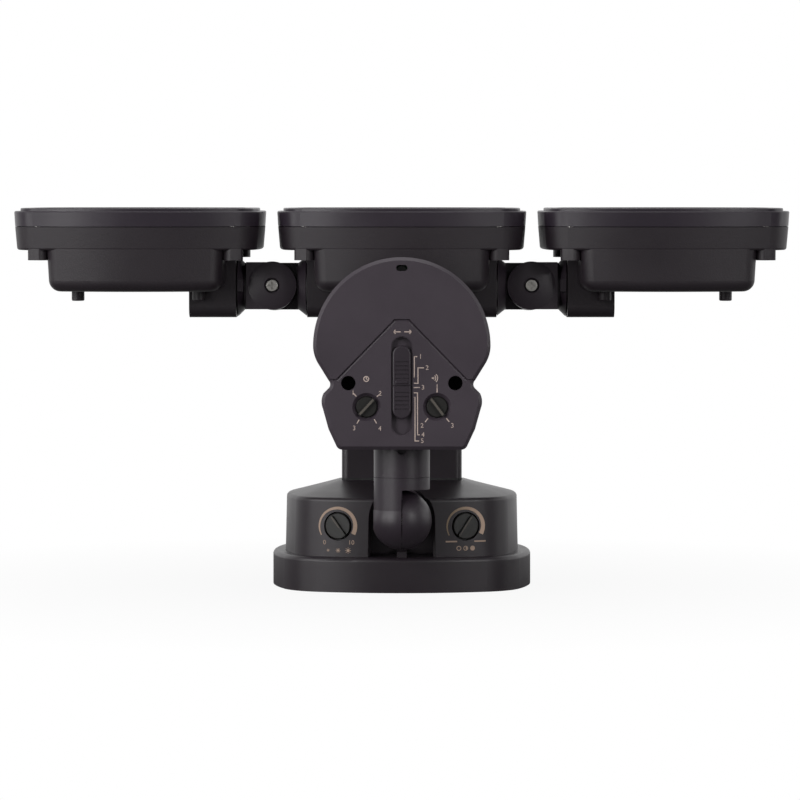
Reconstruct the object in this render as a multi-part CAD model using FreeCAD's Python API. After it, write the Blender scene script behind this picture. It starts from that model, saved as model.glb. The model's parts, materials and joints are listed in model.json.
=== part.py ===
# Three-head motion sensor security light, standing on the back of its canopy.
# Origin: centre of the canopy's wall face. +Z leaves the wall, +X runs along the row of
# heads, -Y is the side with the dials (the underside when the light hangs on a wall).
import FreeCAD, Part
import math
import os

V = FreeCAD.Vector

# ---- driving dimensions, millimetres ----
# arm axis
axis_z = 139.4          # height of the cross tube and arm axis
arm_r = 11.0            # radius of the cross tube, necks and knuckle lugs
collar_r = arm_r + 3.0  # wide end of the conical collars
tube_wall = 2.5
running = 0.05          # radial clearance of a turning fit
tight = 0.02            # radial clearance of a screwed or fixed fit
gap = 0.3               # free space between pieces that move apart
wire_r = 4.0            # passages for the hook-up wires

# screws shared by several pieces
small_screw_r = 1.5
small_clear_r = 1.75
m4_r = 1.95
cross_w = 0.45          # half width of a cross recess

# heads
head_half_w = 58.25
head_half_d = 45.0
head_bow_d = 125.0      # radius of the long sides
head_bow_w = 160.0      # radius of the short sides
head_corner = 16.0
head_pitch = 2 * head_half_w + 6.1
head_lean = 3.0         # degrees about the arm axis at rest, near side down
seam_z = axis_z + 28.3  # top of the housing, before the lean
flange_z = axis_z + 17.6
back_z = axis_z - 1.4   # back of the deep body
bezel_z = seam_z + 7.2
frame_z = bezel_z + 1.4     # raised frame on the bezel
bezel_flare = 0.3       # bezel wider at its top than the housing
body_half_w = head_half_w - 16.75
body_half_d = head_half_d - 1.0
body_corner_r = 8.0
head_wall = 2.4
deep_wall = 3.2
flange_round = 1.2
back_round = 5.4
board_inset = 11.0
frame_inset = 2.6
window_inset = 9.2
seal_inset = 7.8
seal_width = 2.6
screw_inset = 5.0       # corner screw, from the head outline
boss_r = 4.7
bore_r = 3.1            # counterbore of the corner screws
bezel_post_r = 2.7
led_margin_x = 22.0     # centres of the outer LEDs, from the head's ends
led_margin_y = 7.0      # and from the board's edge at the corners
boss_drop = 4.6         # boss below the flange
bore_depth = 3.4        # counterbore of the corner screws
peg_x = 28.1
peg_r = 2.95
peg_drop = 4.8
hinge_x = head_pitch / 2 - 0.7  # knuckle hinge, from the centre plane
block_z = axis_z - arm_r - 3.3  # lowest point of a mounting block
block_half_d = collar_r + 0.2
block_round = 5.0
block_out = hinge_x + 16.9      # end faces of a side block, from the centre plane
block_in = hinge_x + 38.8
block_end = 5.0         # end wall of a side block, where the spigot turns
led_cols = 6
led_rows = 4
led_size = 5.0
led_h = 1.2
board_t = 1.6

# knuckles
lug_r = arm_r + 0.3
neck_gap = lug_r + gap  # hinge axis to the start of each neck
neck_out = hinge_x + 13.3       # start of the outer collar cone
collar_out = neck_out + 3.0
neck_in = hinge_x - neck_gap - 0.3
collar_in = neck_in - 3.8
spigot_r = arm_r - 3.0
nut_wall = 2.6          # ring nut, from thread to rim
nut_t = 4.9
lug_depth = arm_r + 1.6
dome = 1.6
screw_sink = 1.2        # hinge screw head below the crown of the lug
hinge_head_r = 2.8
hinge_recess_r = 3.4
nut_across = 7.0
nut_h = 3.2
tab_half = 2.8          # index tab on the outer collar

# riser
riser_half_w = 28.1
riser_half_d = 12.0
riser_wall = 3.0
riser_round = 3.0
riser_screw_x = riser_half_w - 5.6
riser_screw_y = riser_half_d - 5.5
roof_hole_x = riser_half_w - 10.1
roof_hole_y = riser_half_d - 5.0
tee_r = arm_r + 2.6
centre_block_out = collar_in - 0.6
centre_block_in = riser_half_w + 1.9
roof_z = 48.4
riser_gasket_t = 1.0
channel_r = tee_r + 0.8
channel_half = riser_half_d + 5.5
channel_top = axis_z + 0.4      # top of its straight sides
lining_t = 2.2

# canopy
flange_half_w = 60.5
flange_half_d = 60.0
flange_bow = 108.0
flange_corner = 26.0
flange_h = 15.8
body_half = flange_half_d - 5.3
body_bow = 112.0
body_corner = 22.0
body_draft = 0.6
wall_top = roof_z - 6.2
shell_wall = 2.8
rim = 5.4
seal_groove = 1.8       # depth of the wall seal's groove
groove_out = 1.6        # groove edges, from the flange outline
groove_in = 3.8
canopy_screw_x = 36.0
canopy_screw_y = 30.0
screw_seat = wall_top - 6.2
post_foot = 8.3         # free end of a canopy screw post
slot_pitch = 88.9
slot_r = 2.4
slot_len = 9.0
plate_z = 0.2
plate_t = 1.6
plate_half_x = flange_half_w - 9.5
plate_half_y = 11.0
inlet_r = 14.0
case_half = 27.0
case_y0 = -8.0
case_y1 = 42.0
case_z0 = 14.0
case_z1 = screw_seat
case_wall = 2.0
post_x = 20.0           # posts that hold the driver
post_ys = (17.0, 33.0)
dial_z = 29.6
dial_r = 5.9
dial_pocket_r = 6.55
dial_pocket = 3.2       # depth of a dial's pocket
dial_shaft_r = 2.5
boss_back = 6.0         # inner end of the boss behind a dial

# sensor pivot
ball_y = -67.5
ball_z = 33.5
ball_r = 13.4
stem_r = 12.55
stem_seam = 52.75
stub_z = ball_z + ball_r + 0.5
stem_wire_r = 3.5
shaft_r = 7.0           # threaded shafts of the ball and the arm
pivot_r = 2.2
pivot_head_r = 4.0
pivot_seat = -ball_r + 5.2      # under the pivot screw's head
pivot_reach = 9.0
niche_half = ball_r + 0.9
niche_z = ball_z - 0.5
niche_back = -33.0
niche_bevel = 1.3       # broken front edge of the niche
dial_x = niche_half + 14.7
disc_t = 3.0
rib_half = 2.2
rib_top = ball_z - ball_r - 1.7

# sensor
face_y = ball_y - 24.5  # near face of the cover
cover_t = 6.0
cover_skin = 3.0
shell_back = ball_y + 14.5
hood_t = 7.0
disc_z = 111.5
disc_r = 39.0
lens_r = disc_r - 1.4
lens_t = 1.2
sensor_bottom = 65.9
sensor_wall = 3.2
sensor_cut = 104.5      # where the solid shell ends and the lens starts
sensor_screw_x = 23.5
sensor_screw_z = 95.2
sensor_seat = face_y + 14.4     # under the cover screws' heads
panel_step = 0.5        # panel below the roof-shaped step
step_depth = 1.1        # bottom of the groove along the step
step_width = 1.2
step_low = 97.0         # the step's ends and its ridge
step_high = 123.3
step_low_x = 28.8
step_high_x = 3.3
small_dial_x = 15.5
small_dial_z = 84.7
small_dial_r = 4.6
small_pocket_r = 6.2
small_shaft_r = 2.0
slot_half = 4.3
slot_top = 115.4
slot_bottom = 72.4
slot_depth = 3.4
slider_half = 4.05
slider_top = 111.7
slider_bottom = 79.5
slider_mid = (slider_top + slider_bottom) / 2
slider_stem = 4.0       # half height of the stem behind the slider
index_z = 94.1
grip_first = 3.1        # first grip groove, from the index
grip_pitch = 1.82
grip_half = 0.3
mode_up = 3.2
mode_down = 5.4
board_y = face_y + 9.6  # near side of the sensor board
eye_z = 145.7           # photocell window
pir_y = face_y + 21.0
shelf_z = 100.4


# ---- helpers ----
def box(x0, x1, y0, y1, z0, z1):
    return Part.makeBox(x1 - x0, y1 - y0, z1 - z0, V(x0, y0, z0))


def rod_x(r, x0, x1, y=0.0, z=axis_z):
    return Part.makeCylinder(r, x1 - x0, V(x0, y, z), V(1, 0, 0))


def rod_y(r, y0, y1, x=0.0, z=axis_z):
    return Part.makeCylinder(r, y1 - y0, V(x, y0, z), V(0, 1, 0))


def rod_z(r, z0, z1, x=0.0, y=0.0):
    return Part.makeCylinder(r, z1 - z0, V(x, y, z0), V(0, 0, 1))


def mirror_x(shape):
    return shape.mirror(V(0, 0, 0), V(1, 0, 0))


def moved(shape, x=0.0, y=0.0, z=0.0):
    out = shape.copy()
    out.translate(V(x, y, z))
    return out


def turned(shape, degrees, centre, axis):
    out = shape.copy()
    out.rotate(centre, axis, degrees)
    return out


def fuse(shapes):
    return shapes[0].multiFuse(shapes[1:]).removeSplitter() if len(shapes) > 1 else shapes[0]


def save(name, shape):
    if not shape.isValid():
        raise ValueError(name + " is not valid")
    shape.exportStep("parts/" + name + ".step")
    print(name, len(shape.Solids), round(shape.Volume))


def corner_of(half_w, half_d, bow_w, bow_d, corner):
    """Centre of the corner arc that touches both bowed sides."""
    c1 = half_d - bow_d
    c2 = half_w - bow_w
    r1 = bow_d - corner
    r2 = bow_w - corner
    dist = math.hypot(c1, c2)
    along = (r1 * r1 - r2 * r2 + dist * dist) / (2 * dist)
    off = math.sqrt(r1 * r1 - along * along)
    ux, uy = c2 / dist, -c1 / dist
    x, y = along * ux, c1 + along * uy
    return max((x - off * uy, y + off * ux), (x + off * uy, y - off * ux))


def outline(half_w, half_d, bow_w, bow_d, corner, z, inset=0.0):
    """Rounded rectangle whose four sides bow outwards, moved in by inset."""
    half_w, half_d = half_w - inset, half_d - inset
    bow_w, bow_d = bow_w - inset, bow_d - inset
    corner = max(corner - inset, 0.8)
    px, py = corner_of(half_w, half_d, bow_w, bow_d, corner)
    a = math.atan2(py - (half_d - bow_d), px)
    b = math.atan2(py, px - (half_w - bow_w))
    t1 = (px + corner * math.cos(a), py + corner * math.sin(a))
    t2 = (px + corner * math.cos(b), py + corner * math.sin(b))
    mid = (a + b) / 2
    m = (px + corner * math.cos(mid), py + corner * math.sin(mid))

    def arc(p, q, r):
        return Part.Arc(V(p[0], p[1], z), V(q[0], q[1], z), V(r[0], r[1], z)).toShape()

    def flip(p, sx, sy):
        return (p[0] * sx, p[1] * sy)

    edges = [arc(flip(t1, -1, 1), (0, half_d), t1), arc(t1, m, t2),
             arc(t2, (half_w, 0), flip(t2, 1, -1)),
             arc(flip(t2, 1, -1), flip(m, 1, -1), flip(t1, 1, -1)),
             arc(flip(t1, 1, -1), (0, -half_d), flip(t1, -1, -1)),
             arc(flip(t1, -1, -1), flip(m, -1, -1), flip(t2, -1, -1)),
             arc(flip(t2, -1, -1), (-half_w, 0), flip(t2, -1, 1)),
             arc(flip(t2, -1, 1), flip(m, -1, 1), flip(t1, -1, 1))]
    return Part.Wire(edges)


def prism(wire, height):
    return Part.Face(wire).extrude(V(0, 0, height))


def loft(*wires):
    return Part.makeLoft(list(wires), True, True)


def edges_at(shape, z):
    return [e for e in shape.Edges
            if abs(e.BoundBox.ZMin - z) < 0.01 and abs(e.BoundBox.ZMax - z) < 0.01]


def edges_on_y(shape, y):
    return [e for e in shape.Edges
            if abs(e.BoundBox.YMin - y) < 0.01 and abs(e.BoundBox.YMax - y) < 0.01]


def stadium_y(half_w, z0, z1, y0, y1, x=0.0):
    """Slot shape standing along Z, cut or raised along Y."""
    lower = rod_y(half_w, y0, y1, x, z0 + half_w)
    upper = rod_y(half_w, y0, y1, x, z1 - half_w)
    return fuse([lower, upper, box(x - half_w, x + half_w, y0, y1, z0 + half_w, z1 - half_w)])


def hexagon_y(across, y0, y1, x, z):
    r = across / math.sqrt(3)
    points = [V(x + r * math.cos(math.radians(60 * i)), y0, z + r * math.sin(math.radians(60 * i)))
              for i in range(7)]
    return Part.Face(Part.makePolygon(points)).extrude(V(0, y1 - y0, 0))


# ---- lamp heads, in each head's own x ----
def head_line(z, inset=0.0):
    return outline(head_half_w, head_half_d, head_bow_w, head_bow_d, head_corner, z, inset)


def head_ring(inner, outer, z0, z1):
    return prism(head_line(z0, outer), z1 - z0).cut(prism(head_line(z0, inner), z1 - z0))


def body_line(z, inset):
    return outline(body_half_w, body_half_d, 4 * head_bow_w, head_bow_d, body_corner_r, z, inset)


def corner_points():
    px, py = corner_of(head_half_w, head_half_d, head_bow_w, head_bow_d, head_corner)
    a = math.atan2(py - (head_half_d - head_bow_d), px)
    reach = head_corner - screw_inset
    x, y = px + reach * math.cos(a), py + reach * math.sin(a)
    return [(sx * x, sy * y) for sx in (-1, 1) for sy in (-1, 1)]


def boss_foot():
    return flange_z - boss_drop


def housing_shell():
    flange = loft(head_line(flange_z, 1.0), head_line(seam_z, 0.1))
    flange = flange.makeFillet(flange_round, edges_at(flange, flange_z))
    body = loft(body_line(back_z, 1.1), body_line(flange_z + 3.0, -0.1))
    body = body.makeFillet(back_round, edges_at(body, back_z))
    reach = prism(head_line(boss_foot(), 1.0), boss_drop + 2.0)
    bosses = [rod_z(boss_r, boss_foot(), flange_z + 2, x, y).common(reach)
              for x, y in corner_points()]
    return fuse([flange, body] + bosses)


def housing_hollows():
    """Space inside a housing: the deep body, its throat and the tray above."""
    deep = prism(body_line(back_z + head_wall, deep_wall), flange_z - back_z - head_wall)
    throat = prism(body_line(flange_z - 0.5, board_inset), 4.0)
    tray = prism(head_line(flange_z + head_wall, 2.7), seam_z - flange_z)
    return [deep, throat, tray]


def seal_wall():
    return head_ring(seal_inset + seal_width, seal_inset, flange_z + 1.0, seam_z + 1.2)


def corner_posts():
    return [rod_z(bore_r + 0.5, flange_z, seam_z, x, y) for x, y in corner_points()]


def corner_holes(shape):
    for x, y in corner_points():
        shape = shape.cut(rod_z(small_clear_r, back_z, frame_z, x, y))
        shape = shape.cut(rod_z(bore_r, boss_foot() - 1, boss_foot() + bore_depth, x, y))
    return shape


def block(x0, x1):
    solid = box(x0, x1, -block_half_d, block_half_d, block_z, flange_z + 1.2)
    lower = [e for e in solid.Edges if e.BoundBox.XLength > 5 and e.BoundBox.ZMax < block_z + 1]
    return solid.makeFillet(block_round, lower)


def side_housing():
    """Housing with one mounting block at +x, toward the knuckle."""
    shell = housing_shell()
    for hollow in housing_hollows():
        shell = shell.cut(hollow)
    x0, x1 = head_pitch - block_in, head_pitch - block_out
    shell = fuse([shell, block(x0, x1), seal_wall()] + corner_posts())
    throat = body_line(flange_z - 8.0, board_inset)
    pocket = rod_x(spigot_r + nut_wall + 1.0, x0 + 3.0, x1 - block_end)
    window = box(x0 + 3.0, body_half_w - 4.5, -9.0, 9.0, axis_z, flange_z - 0.5)
    bore = rod_x(spigot_r + running, x1 - block_end - 3.0, x1 + 1.0)
    shell = shell.cut(pocket).cut(window).cut(bore).cut(prism(throat, 12.0))
    return corner_holes(with_pegs(shell, -18.0))


def with_pegs(shell, y):
    pegs = [rod_z(peg_r, back_z - peg_drop, back_z + 0.5, s * peg_x, y) for s in (-1, 1)]
    pegs = [p.makeFillet(0.6, edges_at(p, back_z - peg_drop)) for p in pegs]
    return fuse([shell] + pegs)


def centre_housing():
    """Housing with two blocks bored for the cross tube and a channel for the riser tee."""
    shell = housing_shell()
    for hollow in housing_hollows():
        shell = shell.cut(hollow)
    inner = centre_block_in
    half = channel_half + lining_t
    lining = fuse([rod_x(channel_r + lining_t, -inner, inner),
                   box(-inner, inner, -half, half, back_z, channel_top + lining_t)])
    lining = lining.common(box(-inner, inner, -half, half, back_z, flange_z + 0.8))
    blocks = [block(inner, centre_block_out), block(-centre_block_out, -inner)]
    shell = fuse([with_pegs(shell, -30.0), lining, seal_wall()] + blocks + corner_posts())
    channel = fuse([rod_x(channel_r, -inner, inner),
                    box(-inner, inner, -channel_half, channel_half, block_z, channel_top)])
    bore = rod_x(arm_r + 2 * running, -hinge_x, hinge_x)
    wires = rod_z(wire_r, axis_z, seam_z)
    return corner_holes(shell.cut(channel).cut(bore).cut(wires))


def bezel():
    low = seam_z + gap
    body = loft(head_line(low, 0.1), head_line(bezel_z, -bezel_flare))
    body = body.makeChamfer(0.4, edges_at(body, bezel_z))
    frame = prism(head_line(bezel_z - 1.0, frame_inset), frame_z - bezel_z + 1.0)
    frame = frame.makeFillet(0.5, edges_at(frame, frame_z))
    body = fuse([body, frame])
    body = body.cut(prism(head_line(low - 1.0, head_wall), bezel_z - low - 0.6))
    body = body.cut(prism(head_line(low, window_inset), 20.0))
    for x, y in corner_points():
        body = fuse([body, rod_z(bezel_post_r, low, bezel_z - 1.0, x, y)])
        body = body.cut(rod_z(small_screw_r + tight, low - 1.0, bezel_z - 2.5, x, y))
    return body


def lens():
    brim = prism(head_line(bezel_z - 3.7, seal_inset + 0.1), 1.9)
    raised = prism(head_line(bezel_z - 3.0, window_inset + 0.2), 2.6)
    raised = raised.makeFillet(0.8, edges_at(raised, bezel_z - 0.4))
    hollow = prism(head_line(bezel_z - 4.0, window_inset + 2.4), 1.8)
    return fuse([brim, raised]).cut(hollow)


def lens_gasket():
    return head_ring(seal_inset + seal_width - 0.2, seal_inset + 0.2, seam_z + 1.2, bezel_z - 3.7)


def led_board():
    board = prism(head_line(flange_z + head_wall, board_inset), board_t)
    return board.cut(rod_z(2.5, flange_z, seam_z))


def leds():
    half = led_size / 2
    low = flange_z + head_wall + board_t
    reach_x = head_half_w - led_margin_x
    bow = (reach_x + half) ** 2 / (2 * head_bow_d)
    reach_y = head_half_d - board_inset - bow - led_margin_y
    pitch_x = 2 * reach_x / (led_cols - 1)
    pitch_y = 2 * reach_y / (led_rows - 1)
    out = []
    for i in range(led_cols):
        for j in range(led_rows):
            x = (i - (led_cols - 1) / 2) * pitch_x
            y = (j - (led_rows - 1) / 2) * pitch_y
            out.append(box(x - half, x + half, y - half, y + half, low, low + led_h))
    return Part.makeCompound(out)


def cross_slot(r, z0, z1, x, y):
    """Cross recess, for a screw head that faces along Z."""
    return fuse([box(x - r, x + r, y - cross_w, y + cross_w, z0, z1),
                 box(x - cross_w, x + cross_w, y - r, y + r, z0, z1)])


def cross_slot_y(r, y0, y1, x, z):
    """Cross recess, for a screw head that faces along Y."""
    return fuse([box(x - r, x + r, y0, y1, z - cross_w, z + cross_w),
                 box(x - cross_w, x + cross_w, y0, y1, z - r, z + r)])


def bezel_screws():
    out = []
    top = boss_foot() + bore_depth
    low = top - 2.0
    for x, y in corner_points():
        head = rod_z(bore_r - 0.4, low, top, x, y)
        head = head.makeFillet(0.5, edges_at(head, low))
        head = head.cut(cross_slot(1.5, low - 0.1, low + 1.0, x, y))
        out.append(fuse([head, rod_z(small_screw_r, top - 0.1, bezel_z - 3.0, x, y)]))
    return Part.makeCompound(out)


def leaned(shape):
    """A head's piece in the position the head stands in at rest."""
    return turned(shape, head_lean, V(0, 0, axis_z), V(1, 0, 0))


def make_heads():
    shared = {"bezel": bezel(), "lens": lens(), "lens_gasket": lens_gasket(),
              "led_board": led_board(), "leds": leds(), "bezel_screws": bezel_screws()}
    for name, shape in list(shared.items()) + [("housing", side_housing())]:
        left = moved(leaned(shape), -head_pitch)
        save("left_" + name, left)
        save("right_" + name, mirror_x(left))
    for name, shape in list(shared.items()) + [("housing", centre_housing())]:
        save("centre_" + name, leaned(shape))


# ---- arms ----
def domed_lug(side, web_side):
    """Round lug on the near (-1) or far (+1) side, domed outside, with a web to its neck at +-x."""
    y0, y1 = sorted((side * 0.2, side * lug_depth))
    disc = rod_y(lug_r, y0, y1, hinge_x)
    x0, x1 = sorted((hinge_x, hinge_x + web_side * (neck_gap + 0.6)))
    web = box(x0, x1, y0, y1, axis_z - arm_r, axis_z + arm_r)
    ball = (lug_r ** 2 + dome ** 2) / (2 * dome)
    centre = V(hinge_x, side * (lug_depth + dome - ball), axis_z)
    cap = Part.makeSphere(ball, centre)
    d0, d1 = sorted((side * (lug_depth - 0.5), side * (lug_depth + dome + 1)))
    cap = cap.common(rod_y(lug_r, d0, d1, hinge_x))
    return [disc, web, cap]


def outer_knuckle():
    start = hinge_x + neck_gap
    end = collar_out + 15.0
    neck = rod_x(arm_r, start, neck_out)
    cone = Part.makeCone(arm_r, collar_r, collar_out - neck_out, V(neck_out, 0, axis_z), V(1, 0, 0))
    spigot = rod_x(spigot_r, collar_out - 0.5, end)
    tab = box(neck_out + 0.2, collar_out - 0.1, -collar_r - 0.2, -arm_r + 1.0,
              axis_z - tab_half, axis_z + tab_half)
    solid = fuse(domed_lug(-1, 1) + [neck, cone, spigot, tab])
    solid = solid.cut(rod_x(wire_r, start + 1.5, end + 1.0))
    solid = solid.cut(rod_y(m4_r + running, -2 * arm_r, 1, hinge_x))
    crown = -lug_depth - dome
    bevel = Part.makeCone(hinge_recess_r + 0.5, hinge_recess_r, 0.5, V(hinge_x, crown, axis_z),
                          V(0, 1, 0))
    return solid.cut(bevel).cut(rod_y(hinge_recess_r, -2 * arm_r, screw_sink - lug_depth, hinge_x))


def inner_knuckle():
    end = hinge_x - neck_gap
    neck = rod_x(arm_r, neck_in, end)
    cone = Part.makeCone(collar_r, arm_r, neck_in - collar_in, V(collar_in, 0, axis_z), V(1, 0, 0))
    spigot = rod_x(arm_r - tube_wall - running, centre_block_in, collar_in + 0.5)
    solid = fuse(domed_lug(1, -1) + [neck, cone, spigot])
    solid = solid.cut(rod_x(wire_r, centre_block_in - 1, end - 1.5))
    solid = solid.cut(rod_y(m4_r + running, -1, 2 * arm_r, hinge_x))
    return solid.cut(hexagon_y(nut_across + 0.2, lug_depth - nut_h, 2 * arm_r, hinge_x, axis_z))


def knuckle_screw():
    seat = screw_sink - lug_depth
    top = seat - 1.9
    head = rod_y(hinge_head_r, top, seat, hinge_x)
    head = head.makeFillet(0.4, edges_on_y(head, top))
    head = head.cut(cross_slot_y(1.8, top - 1, top + 1.2, hinge_x, axis_z))
    return fuse([head, rod_y(m4_r, seat - 0.1, lug_depth, hinge_x)])


def knuckle_nut():
    nut = hexagon_y(nut_across, lug_depth - nut_h, lug_depth, hinge_x, axis_z)
    return nut.cut(rod_y(m4_r + tight, 0, 2 * arm_r, hinge_x))


def roll_nut():
    start = block_out + block_end
    ring = rod_x(spigot_r + nut_wall, start + 0.1, start + 0.1 + nut_t)
    return ring.cut(rod_x(spigot_r + tight, start - 1, start + 6))


def roll_seal():
    ring = rod_x(collar_r - 0.8, collar_out, block_out - 0.1)
    return ring.cut(rod_x(spigot_r + gap, collar_out - 1, block_out + 1))


def make_arms():
    for name, shape in (("outer_knuckle", outer_knuckle()), ("inner_knuckle", inner_knuckle()),
                        ("roll_nut", roll_nut()), ("roll_seal", roll_seal())):
        save("right_" + name, shape)
        save("left_" + name, mirror_x(shape))
    for name, shape in (("knuckle_screws", knuckle_screw()), ("knuckle_nuts", knuckle_nut())):
        save(name, Part.makeCompound([shape, mirror_x(shape)]))


# ---- riser and cross tube ----
def riser_posts():
    return [(sx * riser_screw_x, sy * riser_screw_y) for sx in (-1, 1) for sy in (-1, 1)]


def riser_foot():
    return roof_z + riser_gasket_t


def riser_column():
    foot = riser_foot()
    column = box(-riser_half_w, riser_half_w, -riser_half_d, riser_half_d, foot, axis_z)
    upright = [e for e in column.Edges if e.BoundBox.ZLength > 20]
    column = column.makeFillet(riser_round, upright)
    tee = rod_x(tee_r, -riser_half_w, riser_half_w)
    solid = fuse([column, tee])
    w, d = riser_half_w - riser_wall, riser_half_d - riser_wall
    solid = solid.cut(box(-w, w, -d, d, foot - 1, axis_z - tee_r - 2))
    posts = [rod_z(3.2, foot, foot + 12, x, y) for x, y in riser_posts()]
    solid = fuse([solid] + posts)
    for x, y in riser_posts():
        solid = solid.cut(rod_z(small_screw_r + tight, foot - 1, foot + 10, x, y))
    solid = solid.cut(rod_x(arm_r + running, -riser_half_w - 1, riser_half_w + 1))
    solid = solid.cut(rod_z(wire_r, axis_z - tee_r - 5, axis_z + tee_r + 1))
    return solid.cut(rod_y(m4_r + tight, 0, tee_r + 1))


def cross_tube():
    reach = collar_in - 0.1
    tube = rod_x(arm_r, -reach, reach).cut(rod_x(arm_r - tube_wall, -reach - 1, reach + 1))
    tube = tube.cut(rod_z(wire_r, axis_z - arm_r - 1, axis_z + arm_r + 1))
    return tube.cut(rod_y(m4_r + tight, 0, arm_r + 1))


def tube_screw():
    """Set screw that locks the cross tube in the riser's tee, with a hexagon socket."""
    screw = rod_y(m4_r, arm_r - tube_wall, tee_r - 0.4)
    return screw.cut(hexagon_y(2.0, tee_r - 2.4, tee_r, 0, axis_z))


def roof_hole():
    """Opening between canopy and riser for the hook-up wires."""
    return box(-roof_hole_x, roof_hole_x, -roof_hole_y, roof_hole_y, roof_z - 10, roof_z + 3)


def riser_seal():
    pad = box(-riser_half_w, riser_half_w, -riser_half_d, riser_half_d, roof_z, riser_foot())
    pad = pad.makeFillet(riser_round, [e for e in pad.Edges if e.BoundBox.ZLength > 0.5])
    pad = pad.cut(roof_hole())
    for x, y in riser_posts():
        pad = pad.cut(rod_z(small_clear_r, roof_z - 1, roof_z + 3, x, y))
    return pad


def riser_screws():
    out = []
    low = roof_z - shell_wall - 2.0
    for x, y in riser_posts():
        head = rod_z(2.8, low, low + 2.0, x, y).cut(cross_slot(1.5, low - 0.1, low + 1.0, x, y))
        out.append(fuse([head, rod_z(small_screw_r, low + 1.9, riser_foot() + 8, x, y)]))
    return Part.makeCompound(out)


def make_riser():
    save("riser_column", riser_column())
    save("cross_tube", cross_tube())
    save("tube_screw", tube_screw())
    save("riser_gasket", riser_seal())
    save("riser_screws", riser_screws())


# ---- canopy ----
def canopy_line(z, inset=0.0):
    return outline(body_half, body_half, body_bow, body_bow, body_corner, z, inset)


def rim_line(z, inset=0.0):
    return outline(flange_half_w, flange_half_d, flange_bow, flange_bow, flange_corner, z, inset)


def pad_line(z, grow=0.0):
    return outline(riser_half_w + 1.5 + grow, riser_half_d + 1.5 + grow, 9000, 9000, 4.5, z)


def dial_angle():
    return math.degrees(math.asin(dial_x / body_bow))


def dial_wall_y():
    """Y of the bowed wall at a dial, with its draft."""
    inset = body_draft * (dial_z - flange_h) / (wall_top - flange_h)
    return -(body_half - inset - body_bow + math.sqrt((body_bow - inset) ** 2 - dial_x ** 2))


def place_dial(shape, side):
    """Shape made at the origin with its face toward -Y goes to the left or right dial."""
    out = turned(shape, side * dial_angle(), V(0, 0, 0), V(0, 0, 1))
    return moved(out, side * dial_x, dial_wall_y(), dial_z)


def niche(grow=0.0):
    arch = rod_y(niche_half + grow, -80, niche_back + grow, 0, niche_z)
    legs = box(-niche_half - grow, niche_half + grow, -80, niche_back + grow,
               flange_h - grow, niche_z)
    return fuse([arch, legs])


def niche_line(y, grow):
    """Outline of the niche's mouth in the plane y."""
    half, low = niche_half + grow, flange_h
    arch = Part.Arc(V(-half, y, niche_z), V(0, y, niche_z + half), V(half, y, niche_z)).toShape()
    legs = [Part.LineSegment(V(*a), V(*b)).toShape()
            for a, b in (((half, y, niche_z), (half, y, low)), ((half, y, low), (-half, y, low)),
                         ((-half, y, low), (-half, y, niche_z)))]
    return Part.Wire([arch] + legs)


def niche_mouth():
    """Bevel around the niche, where its sides meet the bowed wall."""
    wall = niche_half ** 2 / (2 * body_bow) - body_half
    return loft(niche_line(wall - niche_bevel, 2 * niche_bevel), niche_line(wall + niche_bevel, 0.0))


def canopy_outside():
    base = prism(rim_line(0), flange_h)
    base = base.makeFillet(2.0, edges_at(base, flange_h))
    wall = loft(canopy_line(flange_h - 2.0), canopy_line(wall_top, body_draft))
    roof = loft(canopy_line(wall_top, body_draft), pad_line(roof_z))
    body = fuse([wall, roof])
    body = body.makeFillet(1.8, edges_at(body, wall_top))
    return fuse([base, body])


def canopy_inside():
    lower = prism(rim_line(-1.0, 3.0), flange_h - 2.0)
    upper = prism(canopy_line(-1.0, shell_wall + body_draft), wall_top - shell_wall + 1.0)
    roof = loft(canopy_line(wall_top - shell_wall, shell_wall + body_draft),
                pad_line(roof_z - shell_wall, -1.0))
    return fuse([lower, upper, roof]).cut(niche(shell_wall))


def canopy_screw_points():
    return [(-canopy_screw_x, canopy_screw_y), (canopy_screw_x, canopy_screw_y)]


def driver_posts():
    return [(sx * post_x, y) for sx in (-1, 1) for y in post_ys]


def canopy_shell():
    shell = canopy_outside().cut(canopy_inside())
    band = prism(rim_line(0), 4.0).cut(prism(rim_line(-1, rim), 6.0))
    inside = canopy_inside()
    tubes = [rod_z(6.0, screw_seat - 6, roof_z, x, y) for x, y in canopy_screw_points()]
    tubes += [rod_z(4.2, post_foot, screw_seat - 5, x, y) for x, y in canopy_screw_points()]
    tubes += [rod_z(3.0, case_z1, roof_z, x, y) for x, y in driver_posts()]
    dial_boss = rod_y(dial_pocket_r + 2.05, 0.5, boss_back, 0, 0)
    tubes += [place_dial(dial_boss, side) for side in (-1, 1)]
    tubes = [t.common(inside) for t in tubes]
    rib = box(-rib_half, rib_half, 3 - flange_half_d, niche_back, flange_h - 1, rib_top)
    shell = fuse([shell, band, rib] + tubes)
    shell = shell.cut(niche()).cut(niche_mouth())
    shell = fuse([shell, rib.common(niche())])
    shell = shell.cut(seal_ring(groove_out, groove_in, seal_groove))
    for x, y in canopy_screw_points():
        shell = shell.cut(rod_z(2.2, 0, roof_z + 1, x, y)).cut(rod_z(3.9, screw_seat, roof_z + 1, x, y))
    for x, y in riser_posts():
        shell = shell.cut(rod_z(small_clear_r, roof_z - 10, roof_z + 1, x, y))
    shell = shell.cut(roof_hole())
    shell = shell.cut(rod_y(shaft_r + running, niche_back - 1, niche_back + 5, 0, ball_z))
    for side in (-1, 1):
        shell = shell.cut(place_dial(rod_y(dial_pocket_r, -5.0, dial_pocket, 0, 0), side))
        hole = rod_y(dial_shaft_r + running, dial_pocket - 0.2, boss_back + 1, 0, 0)
        shell = shell.cut(place_dial(hole, side))
    return shell


def seal_ring(out, inn, height):
    return prism(rim_line(0, out), height).cut(prism(rim_line(-1, inn), height + 2))


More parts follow.
